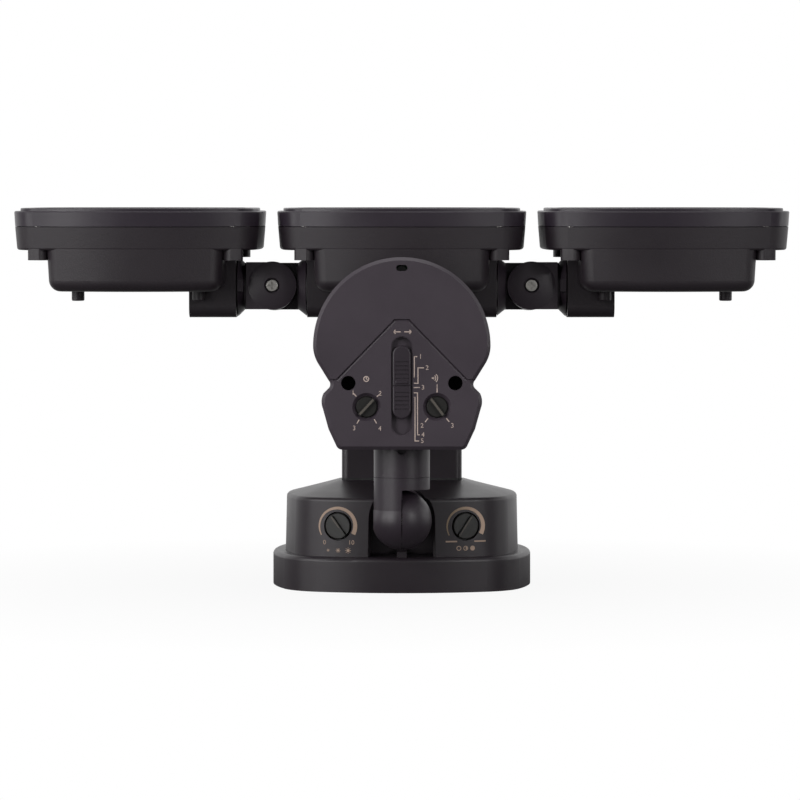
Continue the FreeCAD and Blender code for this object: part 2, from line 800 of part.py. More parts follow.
def wall_gasket():
    return seal_ring(groove_out + running, groove_in - running, seal_groove - running)


def mounting_plate():
    low = plate_z
    bar = box(-plate_half_x, plate_half_x, -plate_half_y, plate_half_y, low, low + plate_t)
    bar = bar.makeFillet(5.0, [e for e in bar.Edges if e.BoundBox.ZLength > 1])
    plate = fuse([bar, rod_z(40.0, low, low + plate_t)])
    for x, y in canopy_screw_points():
        plate = fuse([plate, rod_z(7.5, low, low + plate_t, x, y),
                      rod_z(3.6, low + plate_t, post_foot - gap, x, y)])
        plate = plate.cut(rod_z(m4_r + running, -1, post_foot, x, y))
    plate = plate.cut(rod_z(inlet_r, -1, post_foot))
    for side in (-1, 1):
        x = side * slot_pitch / 2
        half = slot_len / 2 - slot_r
        slot = fuse([rod_z(slot_r, -1, 5, x - half), rod_z(slot_r, -1, 5, x + half),
                     box(x - half, x + half, -slot_r, slot_r, -1, 5)])
        plate = plate.cut(slot)
    return plate


def canopy_screws():
    out = []
    for x, y in canopy_screw_points():
        top = screw_seat + 2.6
        head = rod_z(3.5, screw_seat, top, x, y)
        head = head.makeFillet(0.8, edges_at(head, top))
        head = head.cut(cross_slot(2.2, top - 1.2, top + 1, x, y))
        out.append(fuse([head, rod_z(m4_r, 3.0, screw_seat + 0.1, x, y)]))
    return Part.makeCompound(out)


def driver_case():
    case = box(-case_half, case_half, case_y0, case_y1, case_z0, case_z1)
    case = case.makeFillet(2.0, [e for e in case.Edges if e.BoundBox.ZLength > 5])
    side = case_wall + 0.5
    return case.cut(box(side - case_half, case_half - side, case_y0 + side, case_y1 - side,
                        case_z0 + case_wall, case_z1 - case_wall))


def driver_board():
    """Board on two rails, with a transformer, two capacitors and a choke."""
    half = case_half - case_wall - 1.0
    y0, y1 = case_y0 + 3.0, case_y1 - 3.0
    floor = case_z0 + case_wall
    low = floor + 2.0
    top = low + board_t
    board = box(-half, half, y0, y1, low, top)
    parts = [box(-20, -4, y0 + 9, y0 + 29, top - 0.1, top + 11.4),
             rod_z(5.0, top - 0.1, top + 12.9, 12, y0 + 17),
             rod_z(4.0, top - 0.1, top + 9.9, 12, y0 + 31),
             box(-18, 6, y1 - 11, y1 - 3, top - 0.1, top + 6.4)]
    rails = [box(-half, half, y, y + 2, floor, low + 0.1) for y in (y0, y1 - 2)]
    return fuse([board] + parts + rails)


def dial(r, face, depth, shaft, shaft_end, bar_w, reach, tip):
    """Dial with a raised blade that points to +X; made at the origin, facing -Y."""
    disc = rod_y(r, face, depth, 0, 0)
    disc = disc.makeChamfer(0.4, edges_on_y(disc, face))
    blade = box(-reach, reach, face - 1.5, face + 0.2, -bar_w / 2, bar_w / 2)
    blade = blade.makeFillet(bar_w * 0.3, [e for e in blade.Edges if e.BoundBox.YLength > 1])
    start = r * 0.7
    corners = [V(start, face - 0.5, -bar_w / 2), V(tip, face - 0.5, 0), V(start, face - 0.5, bar_w / 2)]
    point = Part.Face(Part.makePolygon(corners + corners[:1])).extrude(V(0, 0.6, 0))
    return fuse([disc, blade, point, rod_y(shaft, depth - 0.1, shaft_end, 0, 0)])


def canopy_dial(bar_degrees):
    knob = dial(dial_r, -0.4, dial_pocket - gap, dial_shaft_r, boss_back + 3.0, 1.9, dial_r - 0.35,
                dial_r + 0.5)
    return turned(knob, bar_degrees, V(0, 0, 0), V(0, 1, 0))


def canopy_pot():
    half = 6.0
    body = box(-half, half, boss_back + running, 2 * boss_back, -half, half)
    body = body.cut(rod_y(dial_shaft_r + running, 5, boss_back + 3.6, 0, 0))
    pins = [box(x - 0.4, x + 0.4, 8, 9, -half - 3, 0.1 - half) for x in (-2.5, 0, 2.5)]
    return fuse([body] + pins)


def make_canopy():
    save("canopy_shell", canopy_shell())
    save("wall_gasket", wall_gasket())
    save("mounting_plate", mounting_plate())
    save("canopy_screws", canopy_screws())
    save("driver_case", driver_case())
    save("driver_board", driver_board())
    save("light_level_dial", place_dial(canopy_dial(54), -1))
    save("colour_temperature_dial", place_dial(canopy_dial(124), 1))
    save("dial_pots", Part.makeCompound([place_dial(canopy_pot(), s) for s in (-1, 1)]))


# ---- sensor ----
def sensor_line(y):
    """Outline of the sensor: a disc, a waist and two rounded lobes, in the plane y."""
    def p(x, z):
        return V(x, y, z)

    def arc(a, b, c):
        return Part.Arc(p(*a), p(*b), p(*c)).toShape()

    def line(a, b):
        return Part.LineSegment(p(*a), p(*b)).toShape()

    side = (disc_r, disc_z)
    cheek = (36.4, 103.2)
    waist_top = (32.2, 96.4)
    waist = (31.5, 94.2)
    waist_low = (32.5, 92.6)
    lobe_top = (34.4, 90.7)
    lobe = (35.2, 88.2)
    lobe_low = (34.7, 84.0)
    hip = (32.2, 75.0)
    hem = (28.9, 67.9)
    foot = (26.4, sensor_bottom)

    def m(point):
        return (-point[0], point[1])

    right = [arc(side, (38.3, 107.2), cheek), line(cheek, waist_top),
             arc(waist_top, waist, waist_low), line(waist_low, lobe_top),
             arc(lobe_top, lobe, lobe_low), line(lobe_low, hip), line(hip, hem),
             arc(hem, (27.9, 66.5), foot)]
    left = [arc(m(foot), (-27.9, 66.5), m(hem)), line(m(hem), m(hip)), line(m(hip), m(lobe_low)),
            arc(m(lobe_low), m(lobe), m(lobe_top)), line(m(lobe_top), m(waist_low)),
            arc(m(waist_low), m(waist), m(waist_top)), line(m(waist_top), m(cheek)),
            arc(m(cheek), (-38.3, 107.2), m(side))]
    top = arc(m(side), (0, disc_z + disc_r), side)
    return Part.Wire([top] + right + [line(foot, m(foot))] + left)


def sensor_prism(y0, y1, inset=0.0):
    wire = sensor_line(y0)
    if inset:
        wire = wire.makeOffset2D(-inset)
    return Part.Face(wire).extrude(V(0, y1 - y0, 0))


def chevron():
    """Region above the roof-shaped step, where the cover keeps its full height."""
    points = step_line(0.0) + [(60, 160), (-60, 160), (-60, step_low)]
    wire = Part.makePolygon([V(x, -100, z) for x, z in points])
    return Part.Face(wire).extrude(V(0, 100, 0))


def step_line(inside):
    """The step's line from left to right, moved toward the panel."""
    slope = math.atan2(step_high - step_low, step_low_x - step_high_x)
    shift = inside * math.tan(slope / 2)
    low, high = step_low - inside, step_high - inside
    return [(-60, low), (shift - step_low_x, low), (shift - step_high_x, high),
            (step_high_x - shift, high), (step_low_x - shift, low), (60, low)]


def step_groove():
    """Groove below the step: steep at the step, then sloping up to the panel."""
    def band(width, y):
        points = step_line(0.0) + step_line(width)[::-1] + step_line(0.0)[:1]
        return Part.makePolygon([V(x, y, z) for x, z in points])

    rise = step_width / (step_depth - panel_step)
    above = 0.3
    return loft(band(0.05, face_y + step_depth),
                band(step_width + rise * above, face_y + panel_step - above))


def slider_path(y0, y1):
    """Slit in which the slider's stem travels."""
    reach = slider_stem + 0.2
    return box(-1.9, 1.9, y0, y1, slider_mid - reach - mode_down, slider_mid + reach + mode_up)


def sensor_cover():
    back = face_y + cover_t
    low = sensor_prism(face_y + panel_step, back)
    low = low.makeChamfer(1.5, edges_on_y(low, face_y + panel_step))
    high = sensor_prism(face_y, back)
    high = high.makeChamfer(1.5, edges_on_y(high, face_y)).common(chevron())
    cover = fuse([low, high]).cut(step_groove())
    cover = cover.cut(sensor_prism(face_y + cover_skin, back + 1, 2.2))
    pockets = []
    for x in (-small_dial_x, small_dial_x):
        pockets.append(rod_y(small_pocket_r + 1.2, face_y + 2.0, back - 0.6, x, small_dial_z))
    tubes = [rod_y(4.6, face_y + 2.0, sensor_seat + 1.4, s * sensor_screw_x, sensor_screw_z)
             for s in (-1, 1)]
    track = stadium_y(slot_half + 1.4, slot_bottom - 1.4, slot_top + 1.4, face_y + 2.0, back - 0.6)
    cover = fuse([cover, track] + pockets + tubes)
    face = face_y + panel_step
    for x in (-small_dial_x, small_dial_x):
        bevel = Part.makeCone(small_pocket_r, small_dial_r + 0.4, 1.4, V(x, face, small_dial_z),
                              V(0, 1, 0))
        cover = cover.cut(bevel)
        cover = cover.cut(rod_y(small_dial_r + gap, face, face + slot_depth, x, small_dial_z))
        cover = cover.cut(rod_y(small_shaft_r + running, face, back + 5, x, small_dial_z))
    for s in (-1, 1):
        cover = cover.cut(rod_y(3.2, face_y - 1, sensor_seat, s * sensor_screw_x, sensor_screw_z))
        cover = cover.cut(rod_y(small_clear_r, face_y - 1, sensor_seat + 5, s * sensor_screw_x,
                                sensor_screw_z))
    cover = cover.cut(stadium_y(slot_half, slot_bottom, slot_top, face_y - 1, face_y + slot_depth))
    cover = cover.cut(stadium_y(slot_half + 0.4, slot_bottom - 0.4, slot_top + 0.4, face_y - 1,
                                face_y + panel_step + 0.4))
    eye_r = 1.35
    eye = fuse([rod_y(eye_r, face_y - 1, back, s * 1.15, eye_z) for s in (-1, 1)]
               + [box(-1.15, 1.15, face_y - 1, back, eye_z - eye_r, eye_z + eye_r)])
    return cover.cut(slider_path(face_y, back + 5)).cut(eye)


def sensor_shell():
    front = face_y + cover_t + 0.1
    lower = sensor_prism(front, shell_back, 0.8)
    lower = lower.makeChamfer(1.5, edges_on_y(lower, shell_back))
    lower = lower.common(box(-disc_r, disc_r, front - 1, 0, 0, sensor_cut))
    hood = rod_y(disc_r - 0.4, shell_back - hood_t, shell_back, 0, disc_z)
    hood = hood.makeFillet(3.0, edges_on_y(hood, shell_back)).common(upper_half(sensor_cut - 0.1))
    stem = rod_z(stem_r, stem_seam + 0.15, sensor_bottom + 14, 0, ball_y)
    keep = sensor_prism(front + 2.0, shell_back - 2.0, 2.0)
    stem_low = stem.cut(keep)
    shell = fuse([lower, hood])
    inner = sensor_prism(front - 1, shell_back - head_wall, sensor_wall)
    shell = shell.cut(inner)
    posts = [rod_y(4.4, sensor_seat + 3.6, shell_back - 1, s * sensor_screw_x, sensor_screw_z)
             for s in (-1, 1)]
    shell = fuse([shell, stem_low] + posts)
    for s in (-1, 1):
        shell = shell.cut(rod_y(small_screw_r + tight, sensor_seat + 2, shell_back - 5,
                                s * sensor_screw_x, sensor_screw_z))
    bore = rod_z(shaft_r + running, stem_seam - 1, sensor_bottom + 14, 0, ball_y)
    lens_seat = rod_y(lens_r + 0.1, front, shell_back - hood_t + 3.1, 0, disc_z)
    lens_seat = lens_seat.cut(rod_y(lens_r - lens_t - 0.1, front - 1, 0, 0, disc_z))
    stem_front = ball_y - stem_r
    drain = rod_y(2.1, stem_front - 1.0, stem_front + 2.5, 0, sensor_bottom - 0.6)
    return shell.cut(bore).cut(drain).cut(lens_seat.common(upper_half(sensor_cut + 0.1)))


def upper_half(low):
    return box(-disc_r, disc_r, face_y, 0, low, disc_z + disc_r)


def pir_lens():
    ring = rod_y(lens_r, face_y + cover_t + 0.15, shell_back - hood_t + 3.0, 0, disc_z)
    ring = ring.cut(rod_y(lens_r - lens_t, face_y, 0, 0, disc_z))
    return ring.common(upper_half(sensor_cut + 0.2))


def sensor_board():
    """Upright board with the slide switch and two dial pots, and a shelf for the detector."""
    y0, y1 = board_y, board_y + board_t
    parts_y = y0 - 2.6
    main = box(-20, 20, y0, y1, sensor_bottom + 4.1, disc_z + 0.5)
    mast = box(-5, 5, y0, y1, disc_z - 0.5, eye_z + 1.3)
    shelf = box(-14, 14, y1 - 0.1, pir_y + 11.0, shelf_z, shelf_z + board_t)
    switch = box(-5.5, 5.5, parts_y, y0 + 0.1, slider_mid - 12, slider_mid + 12)
    pots = [box(x - 4, x + 4, parts_y, y0 + 0.1, small_dial_z - 4, small_dial_z + 4)
            for x in (-small_dial_x, small_dial_x)]
    board = fuse([main, mast, shelf, switch] + pots)
    for s in (-1, 1):
        board = board.cut(rod_y(5.0, parts_y, y1 + 1, s * sensor_screw_x, sensor_screw_z))
        board = board.cut(rod_y(small_shaft_r + running, parts_y - 1, y0 + 0.9, s * small_dial_x,
                                small_dial_z))
    return board.cut(slider_path(parts_y - 1, y0 - 0.4))


def pir_element():
    low = shelf_z + board_t
    top = low + 4.2
    can = rod_z(4.6, low, top, 0, pir_y)
    can = can.makeFillet(0.5, edges_at(can, top))
    brim = rod_z(5.2, low, low + 0.8, 0, pir_y)
    window = box(-1.8, 1.8, pir_y - 1.6, pir_y + 1.6, top - 0.2, top + 0.3)
    return fuse([can, brim, window])


def photocell():
    return rod_y(2.3, board_y - 3.0, board_y, 0, eye_z - 1.3)


def sensor_screws():
    out = []
    for s in (-1, 1):
        x = s * sensor_screw_x
        head = rod_y(2.8, sensor_seat - 2.0, sensor_seat, x, sensor_screw_z)
        head = head.cut(cross_slot_y(1.6, sensor_seat - 3, sensor_seat - 1, x, sensor_screw_z))
        out.append(fuse([head, rod_y(small_screw_r, sensor_seat - 0.1, shell_back - 7, x, sensor_screw_z)]))
    return Part.makeCompound(out)


def mode_slider():
    face = face_y - 0.6
    cap = stadium_y(slider_half, slider_bottom, slider_top, face, face_y + slot_depth - 0.2)
    cap = cap.makeFillet(0.7, edges_on_y(cap, face))
    for side in (-1, 1):
        for i in range(5):
            z = index_z + side * (grip_first + i * grip_pitch)
            cap = cap.cut(box(-3.05, 3.05, face - 1, face + 0.5, z - grip_half, z + grip_half))
    half = slider_half + 1
    cap = cap.cut(box(-half, half, face - 1, face + 0.9, index_z - 0.4, index_z + 0.4))
    ridge = box(-2.8, 2.8, face - 0.35, face + 0.1, index_z + 0.8, index_z + 2.4)
    cap = fuse([cap, ridge.makeChamfer(0.3, edges_on_y(ridge, face - 0.35))])
    stem = box(-1.6, 1.6, face_y + 3.0, board_y - 0.6, slider_mid - slider_stem,
               slider_mid + slider_stem)
    return fuse([cap, stem])


def small_dial(bar_degrees, x):
    knob = dial(small_dial_r, 0.4, slot_depth - gap, small_shaft_r, board_y - face_y, 1.5,
                small_dial_r + 0.2, small_dial_r + 0.7)
    knob = turned(knob, bar_degrees, V(0, 0, 0), V(0, 1, 0))
    return moved(knob, x, face_y + panel_step, small_dial_z)


def pivot_side(side):
    """Everything on one side of the pivot's parting plane."""
    x0, x1 = sorted((side * 0.2, side * 2 * ball_r))
    return box(x0, x1, ball_y - 2 * ball_r, 0, ball_z - 2 * ball_r, ball_z + 2 * ball_r)


def ball_half(side):
    """Half of the pivot ball: +1 is the canopy side, -1 the arm side."""
    ball = Part.makeSphere(ball_r, V(0, ball_y, ball_z))
    return ball.common(pivot_side(side))


def sensor_ball():
    edge = ball_y + ball_r + 0.4
    seat = niche_back - gap
    neck = rod_y(8.0, ball_y, seat - disc_t + 0.3, 0, ball_z)
    neck = neck.cut(box(-ball_r, 0.2, ball_y - 1, edge, ball_z - ball_r, ball_z + ball_r))
    disc = rod_y(ball_r - 1.0, seat - disc_t, seat, 0, ball_z)
    shaft = rod_y(shaft_r, seat - 0.1, niche_back + 8.0, 0, ball_z)
    ball = fuse([ball_half(1), neck, disc, shaft])
    ball = ball.cut(rod_y(stem_wire_r, edge + 2, 0, 0, ball_z))
    return ball.cut(rod_x(pivot_r + tight, -1, pivot_reach, ball_y, ball_z))


def ball_nut():
    y0 = niche_back + shell_wall + 0.2
    ring = rod_y(shaft_r + 2.2, y0, y0 + 4.4, 0, ball_z)
    return ring.cut(rod_y(shaft_r + tight, y0 - 1, y0 + 6, 0, ball_z))


def sensor_arm():
    top = rod_z(stem_r, stub_z, stem_seam, 0, ball_y)
    leg = rod_z(stem_r, ball_z, stub_z + 0.1, 0, ball_y).common(pivot_side(-1))
    tip = sensor_bottom + sensor_wall + 5.0
    spigot = rod_z(shaft_r, stem_seam - 0.1, tip, 0, ball_y)
    arm = fuse([ball_half(-1), leg, top, spigot])
    arm = arm.cut(rod_z(stem_wire_r, stub_z + 2.0, tip + 1, 0, ball_y))
    arm = arm.cut(rod_x(pivot_r + running, -ball_r - 1, 1, ball_y, ball_z))
    return arm.cut(rod_x(pivot_head_r + gap, -ball_r - 1, pivot_seat + 0.2, ball_y, ball_z))


def pivot_screw():
    top = pivot_seat - 2.6
    head = rod_x(pivot_head_r, top, pivot_seat, ball_y, ball_z)
    head = head.makeFillet(0.6, [e for e in head.Edges if e.BoundBox.XMax < top + 0.1])
    for w, h in ((2, cross_w), (cross_w, 2)):
        head = head.cut(box(top - 1, top + 0.8, ball_y - w, ball_y + w, ball_z - h, ball_z + h))
    return fuse([head, rod_x(pivot_r, pivot_seat - 0.1, pivot_reach, ball_y, ball_z)])


def stem_nut():
    low = sensor_bottom + sensor_wall + 0.1
    ring = rod_z(shaft_r + 2.4, low, low + 4.0, 0, ball_y)
    return ring.cut(rod_z(shaft_r + tight, low - 1, low + 6, 0, ball_y))


def make_sensor():
    save("sensor_cover", sensor_cover())
    save("sensor_shell", sensor_shell())
    save("pir_lens", pir_lens())
    save("sensor_board", sensor_board())
    save("pir_element", pir_element())
    save("photocell", photocell())
    save("sensor_screws", sensor_screws())
    save("mode_slider", mode_slider())
    save("time_dial", small_dial(133, -small_dial_x))
    save("sensitivity_dial", small_dial(53, small_dial_x))
    save("sensor_ball", sensor_ball())
    save("ball_nut", ball_nut())
    save("sensor_arm", sensor_arm())
    save("pivot_screw", pivot_screw())
    save("stem_nut", stem_nut())


os.makedirs("parts", exist_ok=True)
make_canopy()
make_riser()
make_arms()
make_heads()
make_sensor()
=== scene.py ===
"""Finishes, printed marks, light chips and studio for a three-head motion sensor security light."""
import json
import math

import bmesh
import bpy
from mathutils import Matrix, Vector
from mathutils.bvhtree import BVHTree

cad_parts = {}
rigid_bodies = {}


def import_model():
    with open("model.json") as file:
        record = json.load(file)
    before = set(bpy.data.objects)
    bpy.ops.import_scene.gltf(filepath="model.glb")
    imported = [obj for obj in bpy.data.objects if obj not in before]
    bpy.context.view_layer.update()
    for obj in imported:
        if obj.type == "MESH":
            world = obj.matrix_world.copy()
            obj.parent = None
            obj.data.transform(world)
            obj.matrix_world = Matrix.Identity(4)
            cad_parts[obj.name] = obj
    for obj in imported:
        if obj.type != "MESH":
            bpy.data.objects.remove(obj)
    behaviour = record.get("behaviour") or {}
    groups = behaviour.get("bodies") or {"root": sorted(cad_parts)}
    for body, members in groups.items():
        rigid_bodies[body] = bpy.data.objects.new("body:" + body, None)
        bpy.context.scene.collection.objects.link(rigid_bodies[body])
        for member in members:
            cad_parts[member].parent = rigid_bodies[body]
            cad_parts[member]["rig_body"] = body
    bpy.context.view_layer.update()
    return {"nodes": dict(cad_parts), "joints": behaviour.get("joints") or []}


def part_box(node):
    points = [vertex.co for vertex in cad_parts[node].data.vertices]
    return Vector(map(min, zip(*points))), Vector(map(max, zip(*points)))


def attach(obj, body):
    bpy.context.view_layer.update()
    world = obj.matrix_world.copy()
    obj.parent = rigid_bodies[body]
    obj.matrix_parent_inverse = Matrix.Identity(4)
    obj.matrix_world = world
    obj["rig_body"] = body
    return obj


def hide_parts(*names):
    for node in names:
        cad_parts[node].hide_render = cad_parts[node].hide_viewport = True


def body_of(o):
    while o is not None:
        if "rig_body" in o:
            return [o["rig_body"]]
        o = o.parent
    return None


bl_info = {
    "name": "Security Light Finish",
    "version": (1, 0, 0),
    "blender": (4, 5, 0),
    "location": "View3D > Sidebar > Security Light",
    "description": "Plastics, printed marks, light chips and a studio for a security light",
    "category": "Object",
}

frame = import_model()

MM = 0.001
HEADS = ("left", "centre", "right")
JOINTS = {joint["name"]: joint for joint in frame["joints"]}
LENS_RADIUS = 37.6 * MM     # motion lens
CHIP_SIZE = 5 * MM          # light chips, in a grid on each head's board
CHIP_COLUMNS, CHIP_ROWS = 6, 4


def linear(code):
    """sRGB hex code to a linear colour with full alpha."""
    parts = [int(code[i:i + 2], 16) / 255 for i in (1, 3, 5)]
    return tuple(c / 12.92 if c <= 0.04045 else ((c + 0.055) / 1.055) ** 2.4 for c in parts) + (1.0,)


def shade(colour, factor):
    return tuple(min(1.0, c * factor) for c in colour[:3]) + (1.0,)


# ---- sizes and colours that a user would change ----
def colour_setting(name, code, description):
    return bpy.props.FloatVectorProperty(name=name, description=description, subtype="COLOR", size=4,
                                         min=0.0, max=1.0, default=linear(code))


def length_setting(name, millimetres, description):
    return bpy.props.FloatProperty(name=name, description=description, subtype="DISTANCE",
                                   unit="LENGTH", min=0.0, default=millimetres * MM)


def plain_setting(name, value, description):
    return bpy.props.FloatProperty(name=name, description=description, min=0.0, default=value)


class FinishSettings(bpy.types.PropertyGroup):
    housing: colour_setting("Housing", "#241d23", "Textured plastic of the lamp housings")
    satin: colour_setting("Satin", "#2c242c", "Satin plastic of arms and pivot")
    base: colour_setting("Base", "#241d23", "Satin plastic of canopy and riser")
    # The cover is the same bronze plastic as the canopy; its lighter colour is painted light, for the light
    # its broad flat face catches.
    cover: colour_setting("Cover", "#3f373f", "Satin plastic of the sensor's cover")
    bezel: colour_setting("Bezel", "#2e2730", "Smoother plastic of the front bezels")
    knob: colour_setting("Knobs", "#1d1c1a", "Plastic of the dials")
    # Painted highlight: pale strips where the light catches the tops of the dials' blades.
    pointer: colour_setting("Pointers", "#5c564f", "Strips along the dials' blades")
    ink: colour_setting("Ink", "#cdbab0", "Pad-printed marks of the sensor")
    level_ink: colour_setting("Canopy ink", "#b39a88", "Pad-printed marks of the canopy")
    warm_ink: colour_setting("Warm ink", "#8c7862", "Warm end of the colour temperature arc")
    steel: colour_setting("Steel", "#cfcdc8", "Zinc-plated screws, nuts and plate")
    dull_steel: colour_setting("Hinge screws", "#c8c5c0", "Duller zinc of the hinge screws")
    grain: length_setting("Grain", 0.9, "Size of the eroded texture on the housings")
    relief: length_setting("Relief", 0.035, "Height of that texture")


class MarkSettings(bpy.types.PropertyGroup):
    line: length_setting("Line", 0.42, "Width of printed lines")
    digit: length_setting("Digit", 2.0, "Height of printed digits")
    sign: length_setting("Sign", 2.6, "Height of printed signs")
    film: length_setting("Film", 0.06, "Height of the ink over the plastic")
    tick: length_setting("Tick", 2.0, "Length of a dial tick")


class ChipSettings(bpy.types.PropertyGroup):
    frame: colour_setting("Chip frame", "#e9e6df", "White moulded frame of a light chip")
    phosphor: colour_setting("Phosphor", "#dfb03c", "Phosphor in a light chip")
    window: length_setting("Window", 3.7, "Width of the round phosphor window")
    lean: bpy.props.FloatProperty(name="Lean", description="Lean of the heads about the arm axis",
                                  subtype="ANGLE", unit="ROTATION", default=math.radians(3.0))


class StageSettings(bpy.types.PropertyGroup):
    floor: colour_setting("Floor", "#7c7c7c", "Paper floor, as it lights the object")
    key: plain_setting("Key lamp", 9.0, "Power of the tall lamp at the front left, in watts")
    fill: plain_setting("Fill lamp", 3.6, "Power of the tall lamp at the front right, in watts")
    edge: plain_setting("Edge lamp", 6.0, "Power of the tall lamp at the far left, in watts")
    rim: plain_setting("Rim lamp", 1.6, "Power of the tall lamp at the far right, in watts")
    spot: plain_setting("Small lamp", 1.2, "Power of the small lamp that sparkles on the ball, in watts")
    top: plain_setting("Top lamp", 5.0, "Power of the lamp overhead, in watts")
    sky: plain_setting("Sky", 0.22, "Strength of the white surroundings on matt surfaces")
    clearing: length_setting("Clearing", 300.0, "Distance at which the floor fades to pure white")


SETTINGS = (("light_finish", FinishSettings), ("light_marks", MarkSettings),
            ("light_chips", ChipSettings), ("light_stage", StageSettings))


# ---- node helper ----
def add(tree, kind, inputs=None, **settings):
    """Adds a node, sets its properties, and sets or links its inputs by name or number."""
    made = tree.nodes.new(kind)
    for name, value in settings.items():
        setattr(made, name, value)
    for name, value in (inputs or {}).items():
        if isinstance(value, bpy.types.NodeSocket):
            tree.links.new(value, made.inputs[name])
        else:
            made.inputs[name].default_value = value
    return made


def new_material(name):
    """An empty node material and its Object coordinates."""
    made = bpy.data.materials.new(name)
    made.use_nodes = True
    made.node_tree.nodes.clear()
    return made, made.node_tree, add(made.node_tree, "ShaderNodeTexCoord").outputs["Object"]


def close_material(tree, shader):
    add(tree, "ShaderNodeOutputMaterial", {"Surface": shader.outputs[0]})


def noise(tree, where, size, detail=2.0):
    """Soft noise whose lumps are about size metres across."""
    return add(tree, "ShaderNodeTexNoise", {"Vector": where, "Scale": 1 / size, "Detail": detail,
                                            "Roughness": 0.55}).outputs["Fac"]


def spread(tree, factor, low, high, start=0.3, stop=0.7):
    return add(tree, "ShaderNodeMapRange", {"Value": factor, "From Min": start, "From Max": stop,
                                            "To Min": low, "To Max": high}).outputs["Result"]


def blend_colours(tree, factor, first, second):
    mix = add(tree, "ShaderNodeMix", data_type="RGBA")
    for index, value in ((0, factor), (6, first), (7, second)):
        if isinstance(value, bpy.types.NodeSocket):
            tree.links.new(value, mix.inputs[index])
        else:
            mix.inputs[index].default_value = value
    return mix.outputs[2]


# ---- materials ----
def eroded_abs(name, colour, roughness, grain, relief):
    """Injection-moulded ABS from a spark-eroded tool: fine even pits that soften each highlight, a
    slightly cloudy sheen where the melt flowed, and colour that hardly varies."""
    made, tree, where = new_material(name)
    pits = noise(tree, where, grain)
    fine = noise(tree, where, grain * 0.45, 1.0)
    both = add(tree, "ShaderNodeMath", {0: pits, 1: fine}, operation="ADD").outputs[0]
    bump = add(tree, "ShaderNodeBump", {"Height": both, "Strength": 1.0, "Distance": relief})
    flow = noise(tree, where, 26 * MM, 3.0)
    shader = add(tree, "ShaderNodeBsdfPrincipled", {
        "Base Color": blend_colours(tree, spread(tree, flow, 0.0, 1.0),
                                    shade(colour, 0.93), shade(colour, 1.07)),
        "Roughness": spread(tree, flow, roughness - 0.03, roughness + 0.04),
        "IOR": 1.52, "Normal": bump.outputs[0]})
    close_material(tree, shader)
    return made


def pad_ink(name, colour):
    """Pad-printing ink: thin, matt and slightly uneven in cover. The pale strips on the dials' blades use
    it as painted highlight.
    """
    made, tree, where = new_material(name)
    cover = noise(tree, where, 0.5 * MM)
    shader = add(tree, "ShaderNodeBsdfPrincipled", {
        "Base Color": blend_colours(tree, spread(tree, cover, 0.0, 1.0), shade(colour, 0.86), colour),
        "Roughness": 0.62, "IOR": 1.48})
    close_material(tree, shader)
    return made


def graded_ink(name, warm, cool, centre, radius):
    """The same ink, printed from a warm tone at the left to a pale one at the right."""
    made, tree, where = new_material(name)
    across = add(tree, "ShaderNodeSeparateXYZ", {0: where}).outputs["X"]
    factor = spread(tree, across, 0.0, 1.0, centre - radius * 0.8, centre + radius * 0.7)
    shader = add(tree, "ShaderNodeBsdfPrincipled", {
        "Base Color": blend_colours(tree, factor, warm, cool), "Roughness": 0.62, "IOR": 1.48})
    close_material(tree, shader)
    return made


def zinc_steel(name, colour, roughness):
    """Plated steel, barrel polished: bright or dull by its colour, with fine tumbling marks."""
    made, tree, where = new_material(name)
    marks = noise(tree, where, 0.6 * MM, 3.0)
    bump = add(tree, "ShaderNodeBump", {"Height": marks, "Strength": 0.5, "Distance": 0.01 * MM})
    shader = add(tree, "ShaderNodeBsdfPrincipled", {
        "Base Color": blend_colours(tree, spread(tree, marks, 0.0, 1.0), shade(colour, 0.85), colour),
        "Metallic": 1.0, "Roughness": spread(tree, marks, roughness - 0.06, roughness + 0.08),
        "Normal": bump.outputs[0]})
    close_material(tree, shader)
    return made


def drawn_aluminium(name):
    """Drawn aluminium tube: dull, with draw lines along X."""
    made, tree, where = new_material(name)
    along = add(tree, "ShaderNodeMapping", {"Vector": where, "Scale": (0.02, 1.0, 1.0)}).outputs[0]
    lines = noise(tree, along, 0.4 * MM, 2.0)
    bump = add(tree, "ShaderNodeBump", {"Height": lines, "Strength": 0.4, "Distance": 0.01 * MM})
    shader = add(tree, "ShaderNodeBsdfPrincipled", {
        "Base Color": linear("#b5b6b8"), "Metallic": 1.0,
        "Roughness": spread(tree, lines, 0.3, 0.42), "Normal": bump.outputs[0]})
    close_material(tree, shader)
    return made


def moulded_rubber(name):
    """EPDM seal, moulded: matt black with a faint bloom."""
    made, tree, where = new_material(name)
    bloom = noise(tree, where, 3 * MM, 4.0)
    shader = add(tree, "ShaderNodeBsdfPrincipled", {
        "Base Color": blend_colours(tree, spread(tree, bloom, 0.0, 1.0),
                                    linear("#1c1c1d"), linear("#2b2b2c")),
        "Roughness": 0.78, "IOR": 1.5})
    close_material(tree, shader)
    return made


def prismatic_polycarbonate(name):
    """Clear polycarbonate cover, polished outside, with the fine moulded ripple that spreads light."""
    made, tree, where = new_material(name)
    ripple = noise(tree, where, 1.6 * MM, 0.0)
    bump = add(tree, "ShaderNodeBump", {"Height": ripple, "Strength": 0.5, "Distance": 0.05 * MM})
    clear = add(tree, "ShaderNodeBsdfPrincipled", {
        "Base Color": linear("#f6f8f8"), "Transmission Weight": 1.0, "Roughness": 0.06, "IOR": 1.585,
        "Normal": bump.outputs[0]})
    # Lamps reach the chips through the cover, as they do through real thin plastic.
    path = add(tree, "ShaderNodeLightPath").outputs["Is Shadow Ray"]
    through = add(tree, "ShaderNodeBsdfTransparent", {"Color": linear("#eef1f1")})
    mix = add(tree, "ShaderNodeMixShader", {0: path, 1: clear.outputs[0], 2: through.outputs[0]})
    close_material(tree, mix)
    return made


